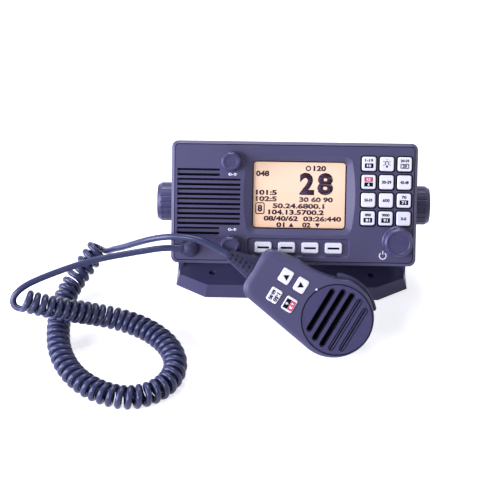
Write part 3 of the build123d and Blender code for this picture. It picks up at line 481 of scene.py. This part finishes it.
# between start and end, in millimetres, each half passes from its own body to the bracket
cordRuns = {
    "cord_radio_half": {
        "points": master[: cut + 1] + [joint],
        "body": "radio_head",
        "start": (-84, -60, 67),
        "end": (-94, -60, 32),
        "nodes": ("cord_radio_lead", "cord_curly"),
    },
    "cord_microphone_half": {
        "points": master[cut + 1 :][::-1] + [joint],
        "body": "handset",
        "start": (-50, -60, 74),
        "end": (-73, -60, 19),
        "nodes": ("cord_mic_lead",),
    },
}
for name, run in cordRuns.items():
    line = pointsAlong(splineObject(name + "_line", run["points"]))
    tube = splineObject(name + "_tube", run["points"], wire["diameter"] * mm)
    jacket = bpy.data.meshes.new_from_object(tube)
    jacket.name = name
    jacket.materials.clear()
    jacket.materials.append(materials["urethane"])
    jacket.polygons.foreach_set("use_smooth", [True] * len(jacket.polygons))
    cord = bpy.data.objects.new(name, jacket)
    scene.collection.objects.link(cord)
    length = sum((b - a).length for a, b in zip(line, line[1:]))
    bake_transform(cord)
    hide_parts(*run["nodes"])
    print(name, round(length, 3), "m", len(jacket.polygons), "faces")


ink = {
    "black": 0,
    "red": 1,
    "white": 2,
    "thick": 0.05,
    "lift": 0.04,  # white lies over the other two
    "sunk": 0.01,  # a mark starts this far under the surface that it is printed on
    "bold": 0.045,  # any bolder, and a 9 loses its stem
    "letterSteps": 3,
    "cornerSteps": 5,
    "arcStep": 12,  # degrees
    "arcFewest": 6,
    "weld": 1e-5,
}
inkFinishes = ["blackInk", "redInk", "whiteInk"]
black, red, white = ink["black"], ink["red"], ink["white"]


def flatMark(shape, *values):  # every mark starts flat, in millimetres
    part = bmesh.new()
    if shape == "block":  # middle x, y, width, height, turn
        x, y, width, height, turn = values
        bmesh.ops.create_grid(part, x_segments=1, y_segments=1, size=0.5)
        place = Matrix.Translation((x, y, 0)) @ Matrix.Rotation(radians(turn), 4, "Z")
        bmesh.ops.transform(part, matrix=place @ Matrix.Diagonal((width, height, 1, 1)), verts=part.verts)
    if shape == "frame":  # middle x, y, width, height, corner, line
        x, y, width, height, corner, line = values
        bmesh.ops.create_grid(part, x_segments=1, y_segments=1, size=0.5)
        bmesh.ops.transform(part, matrix=Matrix.Diagonal((width, height, 1, 1)), verts=part.verts)
        bmesh.ops.bevel(
            part,
            geom=part.verts[:],
            offset=corner,
            affect="VERTICES",
            segments=ink["cornerSteps"],
            profile=0.5,
            material=-1,
        )
        middle = part.faces[:]
        bmesh.ops.inset_region(part, faces=middle, thickness=line, use_boundary=True, use_even_offset=True)
        bmesh.ops.delete(part, geom=middle, context="FACES")
        bmesh.ops.translate(part, vec=(x, y, 0), verts=part.verts)
    if shape == "sides":  # middle x, y, radius, number of sides, turn
        x, y, radius, sides, turn = values
        bmesh.ops.create_circle(part, cap_ends=True, segments=sides, radius=radius)
        place = Matrix.Translation((x, y, 0)) @ Matrix.Rotation(radians(turn), 4, "Z")
        bmesh.ops.transform(part, matrix=place, verts=part.verts)
    if shape == "arc":  # middle x, y, inner radius, outer radius, first angle, sweep
        x, y, inner, outer, first, sweep = values
        ends = [part.verts.new((radius, 0, 0)) for radius in (inner, outer)]
        edge = part.edges.new(ends)
        steps = max(ink["arcFewest"], round(abs(sweep) / ink["arcStep"]))
        turned = Matrix.Rotation(radians(first), 3, "Z")
        bmesh.ops.rotate(part, verts=ends, cent=(0, 0, 0), matrix=turned)
        bmesh.ops.spin(
            part,
            geom=ends + [edge],
            cent=(0, 0, 0),
            axis=(0, 0, 1),
            angle=radians(sweep),
            steps=steps,
            use_merge=sweep == 360,
        )
        bmesh.ops.translate(part, vec=(x, y, 0), verts=part.verts)
    if shape == "figures":  # text, left, right, lower edge, height
        text, left, right, lower, height = values
        data = bpy.data.curves.new("legend", "FONT")
        data.body = text
        data.resolution_u = ink["letterSteps"]
        data.offset = ink["bold"]
        flat = bpy.data.meshes.new_from_object(bpy.data.objects.new("legend", data))
        part.from_mesh(flat)
        bmesh.ops.remove_doubles(part, verts=part.verts, dist=ink["weld"])
        xs = [vertex.co.x for vertex in part.verts]
        ys = [vertex.co.y for vertex in part.verts]
        size = Vector(((right - left) / (max(xs) - min(xs)), height / (max(ys) - min(ys)), 1))
        bmesh.ops.translate(part, vec=(-min(xs), -min(ys), 0), verts=part.verts)
        bmesh.ops.scale(part, vec=size, verts=part.verts)
        bmesh.ops.translate(part, vec=(left, lower, 0), verts=part.verts)
    return part


def printed(name, body, plane, marks, looks=inkFinishes, thick=ink["thick"]):
    whole = bmesh.new()
    for colour, *shape in marks:
        part = flatMark(*shape)
        lift = ink["lift"] if colour == white else 0
        bmesh.ops.translate(part, vec=(0, 0, lift), verts=part.verts)
        for face in part.faces:
            face.material_index = colour
        held = bpy.data.meshes.new("mark")
        part.to_mesh(held)
        part.free()
        whole.from_mesh(held)
        bpy.data.meshes.remove(held)
    for face in whole.faces:  # every mark faces up first
        face.normal_update()
        if face.normal.z < 0:
            face.normal_flip()
    flat = whole.faces[:]
    raised = bmesh.ops.extrude_face_region(whole, geom=flat, use_keep_orig=True)["geom"]
    tops = [item for item in raised if isinstance(item, bmesh.types.BMVert)]
    bmesh.ops.translate(whole, vec=(0, 0, thick), verts=tops)
    for face in flat:  # the undersides face down
        face.normal_update()
        if face.normal.z > 0:
            face.normal_flip()
    bmesh.ops.transform(whole, matrix=plane, verts=whole.verts)
    mesh = bpy.data.meshes.new(name)
    whole.to_mesh(mesh)
    whole.free()
    for look in looks:
        mesh.materials.append(materials[look])
    piece = bpy.data.objects.new(name, mesh)
    scene.collection.objects.link(piece)
    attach(piece, body)


lampRays = {
    "middle": 0.6,
    "reach": 2.6,
    "long": 0.9,
    "wide": 0.5,
    "turns": (-30, 30, 90, 150, 210),
}
lampSign = [
    (black, "arc", 0, lampRays["middle"], 1.0, 1.6, -60, 300),
    (black, "block", 0, -1.7, 1.4, 1.5, 0),
]
for turn in lampRays["turns"]:
    x = lampRays["reach"] * cos(radians(turn))
    y = lampRays["middle"] + lampRays["reach"] * sin(radians(turn))
    lampSign.append((black, "block", x, y, lampRays["long"], lampRays["wide"], turn))
# lower edge and height of the figures, in millimetres from the key's middle
upperRow = (1.5, 2.1)
middleRow = (-1.1, 2.4)
boxRow = (-2.3, 2.0)
solidBox = (black, "block", 0, -1.3, 6.3, 3.4, 0)
openBox = (black, "frame", 0, -1.3, 6.3, 3.4, 0.5, 0.6)


def numbers(text, wide, row, colour=black):  # about the key's middle line
    return (colour, "figures", text, -wide / 2, wide / 2, *row)


keyLegends = [
    [numbers("1-19", 6.0, upperRow), solidBox, numbers("10", 3.2, boxRow, white)],
    lampSign,
    [numbers("20-29", 6.2, upperRow), openBox, numbers("20", 3.2, boxRow)],
    [
        (red, "block", 0, 2.0, 6.3, 3.4, 0),
        numbers("13", 2.8, (1.0, 2.0), white),
        (black, "block", 0, -1.7, 6.3, 3.0, 0),
        numbers("6", 1.5, (-2.7, 2.0), white),
    ],
    [numbers("30-39", 7.0, middleRow)],
    [numbers("40-48", 6.2, middleRow)],
    [numbers("50-59", 5.8, middleRow)],
    [numbers("600", 5.0, middleRow)],
    [numbers("70", 3.6, upperRow), solidBox, numbers("71", 3.2, boxRow, white)],
    [numbers("800", 4.4, upperRow), solidBox, numbers("81", 3.2, boxRow, white)],
    [numbers("9000", 5.6, upperRow), solidBox, numbers("91", 3.2, boxRow, white)],
    [numbers("0-0", 4.0, middleRow)],
]
keyProud = {"keypad": 1.2, "soft": 0.3, "microphone": 0.7}  # millimetres over the face


def facePlace(node):  # where a node's middle stands on the radio's face, in millimetres
    low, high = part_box(node)
    spot = facePlane.inverted() @ ((low + high) / 2)
    return spot.x, spot.y


for index, marks in enumerate(keyLegends, 1):
    keyTop = at(facePlane, *facePlace(f"keypad_key_{index:02d}"), keyProud["keypad"] - ink["sunk"])
    printed(f"key_legend_{index:02d}", f"key_{index:02d}", keyTop, marks)

# painted shade: a dark ring round each key, where the keys shade the face between them, and a painted
# shadow line inside the panel's rim, where the face steps down
keyShade = {"size": 12.4, "corner": 2.4, "line": 0.95, "sunk": 0.03}
rimShade = {"width": 175.6, "height": 85.6, "corner": 3.4, "line": 0.55, "sunk": 0.035}
keyShadeRings = []
for index in range(1, len(keyLegends) + 1):
    x, y = facePlace(f"keypad_key_{index:02d}")
    keyShadeRings.append((black, "frame", x, y, keyShade["size"], keyShade["size"], keyShade["corner"], keyShade["line"]))
printed("keypad_painted_shade", "radio_head", at(facePlane, 0, 0, -keyShade["sunk"]), keyShadeRings)
# painted shadow line inside the panel's rim
rimShadeLine = (black, "frame", 0, 0, rimShade["width"], rimShade["height"], rimShade["corner"], rimShade["line"])
printed("face_rim_painted_shade", "radio_head", at(facePlane, 0, 0, -rimShade["sunk"]), [rimShadeLine])

softBar = [(black, "block", 0, 0, 8.6, 1.5, 0)]
for index in range(1, 5):
    keyTop = at(facePlane, *facePlace(f"soft_key_{index}"), keyProud["soft"] - ink["sunk"])
    printed(f"soft_legend_{index}", f"soft_{index}", keyTop, softBar)
print("key legends printed")

# power sign by the large knob, numbers by the two small ones
faceMarksSunk = 0.06
faceMarks = [
    (white, "arc", 65.8, -37.3, 2.1, 2.85, 125, 290),
    (white, "block", 65.8, -35.0, 0.65, 2.6, 0),
    (white, "figures", "0-9", -48.2, -41.8, 19.6, 2.2),
    (white, "figures", "0-9", -48.0, -41.6, -20.9, 2.2),
]
printed("face_marks", "radio_head", at(facePlane, 0, 0, -faceMarksSunk), faceMarks)
print("face marks printed")

screenDepth = 4.6  # of the screen under the face
cells = [  # one finish, so each starts with its slot, 0
    (0, "figures", "2", 3.9, 14.8, 6.2, 16.4),
    (0, "figures", "8", 17.0, 28.6, 6.2, 16.4),
    (0, "figures", "048", -28.1, -18.4, 19.5, 4.2),
    (0, "arc", 10.2, 25.7, 1.1, 2.0, 0, 360),
    (0, "figures", "120", 14.0, 23.2, 23.8, 4.0),
    (0, "figures", "101:5", -28.1, -12.6, 5.8, 3.8),
    (0, "figures", "102:5", -28.1, -12.6, 1.1, 3.8),
    (0, "figures", "30 60 90", 3.9, 28.6, 0.9, 3.8),
    (0, "frame", -24.9, -4.0, 7.0, 8.8, 1.6, 0.8),
    (0, "figures", "8", -26.7, -23.1, -6.6, 5.2),
    (0, "figures", "50.24.6800.1", -15.6, 22.4, -3.9, 3.8),
    (0, "figures", "104.13.5700.2", -18.7, 22.2, -8.6, 3.8),
    (0, "figures", "08/40/62  03:26:440", -22.1, 35.0, -13.2, 3.8),
    (0, "figures", "01", -12.7, -6.5, -17.8, 3.7),
    (0, "sides", -1.7, -16.5, 2.1, 3, 0),
    (0, "figures", "02", 6.4, 12.6, -17.8, 3.7),
    (0, "sides", 17.6, -15.6, 2.1, 3, 180),
]
window = {  # painted shade: a dark line round the window under the panel, in the shadow gap between the bezel and the window
    "x": 3.8,
    "y": 6.1,
    "width": 68.9,
    "height": 49.9,
    "corner": 3,
    "line": 0.9,
    "back": 3.0,
    "thick": 0.6,
}
# painted shade round the window
windowShade = [(0, "frame", *(window[key] for key in ("x", "y", "width", "height", "corner", "line")))]
windowShadePlane = at(facePlane, 0, 0, -window["back"])
printed("window_painted_shade", "radio_head", windowShadePlane, windowShade, ["blackInk"], window["thick"])
printed("screen_cells", "radio_head", at(facePlane, 0, 0, -screenDepth), cells, ["darkCells"])
print("screen drawn")

louvres = {  # the first and the last slit end early, at short
    "count": 7,
    "pitch": 7.15,
    "height": 5.4,
    "left": -85.6,
    "right": -39.4,
    "short": -54.6,
    "y": 0.55,
}
shade = {"top": 0.9, "bottom": 1.2, "wide": 0.6, "depth": 0.89}  # painted shade: a dark line along each edge of a slit, widening its shadow
lines = []
for index in range(louvres["count"]):
    end = louvres["short"] if index in (0, louvres["count"] - 1) else louvres["right"]
    middle = louvres["y"] + ((louvres["count"] - 1) / 2 - index) * louvres["pitch"]
    upper = middle + louvres["height"] / 2 - shade["top"] - shade["wide"] / 2
    lower = middle - louvres["height"] / 2 + shade["bottom"] + shade["wide"] / 2
    x = (louvres["left"] + end) / 2
    lines += [(black, "block", x, y, end - louvres["left"], shade["wide"], 0) for y in (upper, lower)]
# painted shade along the louvre slits
printed("louvre_painted_shade", "radio_head", at(facePlane, 0, 0, -shade["depth"]), lines)

clothDepth = 3.05
cloth = [(0, "block", -62.5, 0.55, 47.0, 35.5, 0), (0, "block", -70.0, 0.55, 32.0, 49.5, 0)]
printed("speaker_cloth", "radio_head", at(facePlane, 0, 0, -clothDepth), cloth, ["cloth"])
print("louvres lined")

# the shell's own walls and openings, under a new face: a raised plateau inside a broad soft bevel
shell = {
    "face": -0.05,  # heights over the grille's face
    "bevelFoot": -2.45,
    "ledge": -2.05,
    "lip": 0.25,
    "pocket": 26.3,  # radius
    "steps": 7,  # of the bevel
    "spacing": 1.5,  # along its foot
    "near": 0.05,  # what counts as the same height or radius
    "slack": 0.02,
    "merge": 0.01,
    "weld": 1e-6,  # metres
}
plateau = {  # a round head and a straight grip, in millimetres from the grille's middle
    "headY": -0.6,
    "headRadius": 27.0,
    "gripHalf": 15.0,
    "gripEnd": 66.0,
    "gripCorner": 6.5,
}


def circlePoints(x, y, radius, count=90):
    turns = [radians(360 / count * index) for index in range(count)]
    return [Vector((x + radius * cos(a), y + radius * sin(a))) for a in turns]


def orderedLoop(edges):  # vertices of one closed loop, in order
    following = {}
    for edge in edges:
        for vertex in edge.verts:
            following.setdefault(vertex, []).append(edge.other_vert(vertex))
    walk = [next(iter(following))]
    walk.append(following[walk[0]][0])
    while True:
        onward = next(other for other in following[walk[-1]] if other is not walk[-2])
        if onward is walk[0]:
            return walk
        walk.append(onward)


def nearestOn(polygon, point):
    best = None
    for start, end in zip(polygon, polygon[1:] + polygon[:1]):
        share = intersect_point_line(point, start, end)[1]
        spot = start.lerp(end, min(1, max(0, share)))
        if best is None or (spot - point).length < (best - point).length:
            best = spot
    return best


cover = bmesh.new()
cover.from_mesh(nodes["mic_front_shell"].data)
bmesh.ops.remove_doubles(cover, verts=cover.verts, dist=shell["weld"])
bmesh.ops.transform(cover, matrix=micPlane.inverted(), verts=cover.verts)


def isSkin(face):  # all that lies over the bevel's foot but the ledge in the pocket
    heights = [vertex.co.z for vertex in face.verts]
    overLedge = any(abs(z - shell["ledge"]) > shell["near"] for z in heights)
    return overLedge and min(heights) > shell["bevelFoot"] - shell["slack"]


bmesh.ops.delete(cover, geom=[face for face in cover.faces if isSkin(face)], context="FACES")


def openEdges(height):
    rims = [edge for edge in cover.edges if edge.is_boundary]
    return [edge for edge in rims if all(abs(v.co.z - height) < shell["near"] for v in edge.verts)]


def roundPocket(edge):
    return all(abs(vertex.co.xy.length - shell["pocket"]) < shell["near"] for vertex in edge.verts)


keyHoles = openEdges(shell["face"])
ledgeRim = [edge for edge in openEdges(shell["ledge"]) if roundPocket(edge)]
raised = bmesh.ops.extrude_edge_only(cover, edges=ledgeRim)["geom"]  # the wall of the pocket
tops = [item for item in raised if isinstance(item, bmesh.types.BMVert)]
bmesh.ops.translate(cover, vec=(0, 0, shell["face"] - shell["ledge"]), verts=tops)
raisedEdges = [item for item in raised if isinstance(item, bmesh.types.BMEdge)]
pocketRim = [edge for edge in raisedEdges if all(vertex in tops for vertex in edge.verts)]

cornerX = plateau["gripHalf"] - plateau["gripCorner"]
cornerY = plateau["gripCorner"] - plateau["gripEnd"]
around = circlePoints(0, plateau["headY"], plateau["headRadius"])
for x in (-cornerX, cornerX):
    around += circlePoints(x, cornerY, plateau["gripCorner"])
inside = [around[index] for index in convex_hull_2d(around)]
foot = [vertex.co.xy for vertex in orderedLoop(openEdges(shell["bevelFoot"]))]
dense = []
for start, end in zip(foot, foot[1:] + foot[:1]):
    parts = max(1, round((end - start).length / shell["spacing"]))
    dense += [start.lerp(end, index / parts) for index in range(parts)]
rings = []  # the bevel rises from the shell's own outline to the plateau's, a quarter round
for step in range(shell["steps"] + 1):
    angle = radians(90 * step / shell["steps"])
    height = shell["bevelFoot"] + (shell["face"] - shell["lip"] - shell["bevelFoot"]) * sin(angle)
    spots = [outer.lerp(nearestOn(inside, outer), 1 - cos(angle)) for outer in dense]
    rings.append([cover.verts.new((*spot, height)) for spot in spots])
bevelFaces = []
for lower, upper in zip(rings, rings[1:]):
    for index in range(len(dense)):
        quad = (lower[index - 1], lower[index], upper[index], upper[index - 1])
        bevelFaces.append(cover.faces.new(quad))
# an upright step of the lip's height between the bevel and the plateau
lipFoot = [cover.verts.new(vertex.co) for vertex in rings[-1]]
lipTop = [cover.verts.new((*vertex.co.xy, shell["face"])) for vertex in rings[-1]]
bmesh.ops.remove_doubles(cover, verts=lipFoot, dist=shell["merge"])
bmesh.ops.remove_doubles(cover, verts=lipTop, dist=shell["merge"])
lipFoot = [vertex for vertex in lipFoot if vertex.is_valid]
lipTop = [vertex for vertex in lipTop if vertex.is_valid]
for index in range(min(len(lipFoot), len(lipTop))):
    cover.faces.new((lipFoot[index - 1], lipFoot[index], lipTop[index], lipTop[index - 1]))
topSet = set(lipTop)
plateauRim = [edge for edge in cover.edges if edge.is_boundary and topSet.issuperset(edge.verts)]
filled = bmesh.ops.triangle_fill(
    cover, use_beauty=True, use_dissolve=False, edges=plateauRim + pocketRim + keyHoles, normal=(0, 0, 1)
)["geom"]
for face in filled:
    if isinstance(face, bmesh.types.BMFace) and face.normal.z < 0:
        face.normal_flip()
for face in bevelFaces:
    face.smooth = True
    face.normal_update()
if sum(face.normal.z for face in bevelFaces) < 0:
    bmesh.ops.reverse_faces(cover, faces=bevelFaces)
bmesh.ops.transform(cover, matrix=micPlane, verts=cover.verts)
coverMesh = bpy.data.meshes.new("mic_front_cover")
cover.to_mesh(coverMesh)
cover.free()
coverMesh.materials.append(materials["mouldedAbs"])
coverObject = bpy.data.objects.new("mic_front_cover", coverMesh)
scene.collection.objects.link(coverObject)
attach(coverObject, "handset")
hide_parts("mic_front_shell")
print("microphone cover", len(coverMesh.polygons), "faces")

slots = {
    "beside": 2,  # slots on each side of the middle one
    "pitch": 6.9,
    "width": 4.1,
    "reach": 22.9,  # the slots end on this radius
    "rim": 0.45,
    "ring": (25.4, 25.95),  # a dark ring of painted shade in the groove at the grille's own edge
    "sunk": 0.02,
    "thick": 0.08,
}
slotCorner = slots["width"] / 2 - 0.01  # all but a half circle
# painted shade: a dark line round each slot's edge and a dark ring at the grille's edge
grilleShadeMarks = [(0, "arc", 0, 0, *slots["ring"], 0, 360)]
for index in range(-slots["beside"], slots["beside"] + 1):
    y = index * slots["pitch"]
    length = 2 * (slots["reach"] ** 2 - y**2) ** 0.5
    grilleShadeMarks.append((0, "frame", 0, y, length, slots["width"], slotCorner, slots["rim"]))
grilleShadePlane = at(micPlane, 0, 0, -slots["sunk"])
printed("grille_painted_shade", "handset", grilleShadePlane, grilleShadeMarks, ["blackInk"], slots["thick"])

micLegends = [
    [(black, "sides", 0, -0.4, 2.7, 3, 0)],
    [
        (red, "block", 0, 1.9, 7.4, 3.6, 0),
        (black, "block", 0, -1.9, 7.4, 3.6, 0),
        (white, "figures", "13", -2.2, 2.2, 0.8, 2.3),
        (white, "figures", "6", -1.0, 1.0, -3.0, 2.3),
    ],
    [(black, "sides", 0, 0.4, 2.7, 3, 180)],
    [(black, "figures", "1-50", -3.4, 3.4, 0.5, 2.9), (black, "figures", "60-90", -3.8, 3.8, -3.3, 2.9)],
]
for index, marks in enumerate(micLegends, 1):
    low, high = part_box(f"mic_key_{index}")
    spot = micPlane.inverted() @ ((low + high) / 2)
    keyTop = at(micPlane, spot.x, spot.y, keyProud["microphone"] - ink["sunk"])
    printed(f"mic_legend_{index}", f"mic_key_{index}_cap", keyTop, marks)
dot = [(white, "sides", -11.2, -24.2, 0.8, 16, 0)]
printed("mic_dot", "handset", at(micPlane, 0, 0, -slots["sunk"]), dot)
print("microphone legends printed")


def seenDirectly(tree):  # 1 for what the camera sees, also in a gloss or through a clear sheet
    paths = addNode(tree, "ShaderNodeLightPath").outputs
    either = {0: paths["Is Camera Ray"], 1: paths["Is Glossy Ray"]}
    seen = addNode(tree, "ShaderNodeMath", {"operation": "MAXIMUM"}, either).outputs[0]
    either = {0: seen, 1: paths["Is Transmission Ray"]}
    return addNode(tree, "ShaderNodeMath", {"operation": "MAXIMUM"}, either).outputs[0]


floorLook = {  # metres, but for the fibre in millimetres
    "colour": "#e9e7f2",
    "pale": "#ecebf4",
    "glow": "#ffffff",
    "rough": 0.9,
    "fibre": 60,
    "lift": 0.72,
    "near": 0.5,
    "far": 2.0,
    "half": 12.0,
}
floorMaterial, tree = startMaterial("paperFloor", floorLook["colour"])
place = addNode(tree, "ShaderNodeTexCoord").outputs["Object"]
fibrous = {"Vector": place, "Scale": 1 / (floorLook["fibre"] * mm), "Detail": 2.0}
fibre = addNode(tree, "ShaderNodeTexNoise", None, fibrous)
tones = {0: fibre.outputs[0], 6: linearColour(floorLook["colour"]), 7: linearColour(floorLook["pale"])}
tone = addNode(tree, "ShaderNodeMix", {"data_type": "RGBA"}, tones)
seen = seenDirectly(tree)
away = addNode(tree, "ShaderNodeVectorMath", {"operation": "LENGTH"}, {0: place}).outputs["Value"]
ends = {
    "Value": away,
    "From Min": floorLook["near"],
    "From Max": floorLook["far"],
    "To Min": floorLook["lift"],
}
lift = addNode(tree, "ShaderNodeMapRange", None, ends)  # white where the lamps no longer reach
lifted = addNode(tree, "ShaderNodeMath", {"operation": "MULTIPLY"}, {0: seen, 1: lift.outputs[0]})
skin = {
    "Base Color": tone.outputs[2],
    "Roughness": floorLook["rough"],
    "Emission Color": linearColour(floorLook["glow"]),
    "Emission Strength": lifted.outputs[0],
}
shader = addNode(tree, "ShaderNodeBsdfPrincipled", None, skin)
addNode(tree, "ShaderNodeOutputMaterial", None, {"Surface": shader.outputs[0]})
floorMesh = bmesh.new()
bmesh.ops.create_grid(floorMesh, x_segments=1, y_segments=1, size=floorLook["half"])
floorData = bpy.data.meshes.new("floor")
floorMesh.to_mesh(floorData)
floorMesh.free()
floorData.materials.append(floorMaterial)
floor = bpy.data.objects.new("floor", floorData)
scene.collection.objects.link(floor)

world = bpy.data.worlds.new("studio")
scene.world = world
world.use_nodes = True
tree = world.node_tree
tree.nodes.clear()
roomLight = {"colour": "#e4e6f5", "strength": 0.12, "backdrop": "#ffffff"}
seen = seenDirectly(tree)
room = {"Color": linearColour(roomLight["colour"]), "Strength": roomLight["strength"]}
dim = addNode(tree, "ShaderNodeBackground", None, room)
backdrop = {"Color": linearColour(roomLight["backdrop"]), "Strength": 1.0}
bright = addNode(tree, "ShaderNodeBackground", None, backdrop)
chosen = {0: seen, 1: dim.outputs[0], 2: bright.outputs[0]}
mixed = addNode(tree, "ShaderNodeMixShader", None, chosen)
addNode(tree, "ShaderNodeOutputWorld", None, {"Surface": mixed.outputs[0]})

lamps = {  # places and sizes in metres
    "leftLamp": {"place": (-1.2, -0.3, 0.4), "size": 0.8, "watts": 27, "colour": "#dde1ff"},
    "topLamp": {"place": (-0.15, 0.6, 1.35), "size": 0.8, "watts": 16, "colour": "#f0f0ff"},
    "rightLamp": {"place": (1.3, 0.1, 0.35), "size": 0.7, "watts": 3, "colour": "#fbf4ff"},
    "frontLamp": {"place": (-0.9, -1.2, 0.75), "size": 0.5, "watts": 14, "colour": "#f4f2ff"},
}
lampTarget = Vector((0, 0, 0.05))
for name, lamp in lamps.items():
    data = bpy.data.lights.new(name, "AREA")
    data.energy = lamp["watts"]
    data.size = lamp["size"]
    data.color = linearColour(lamp["colour"])[:3]
    light = bpy.data.objects.new(name, data)
    light.location = lamp["place"]
    light.rotation_euler = (lampTarget - light.location).to_track_quat("-Z", "Y").to_euler()
    scene.collection.objects.link(light)
print("stage lit")
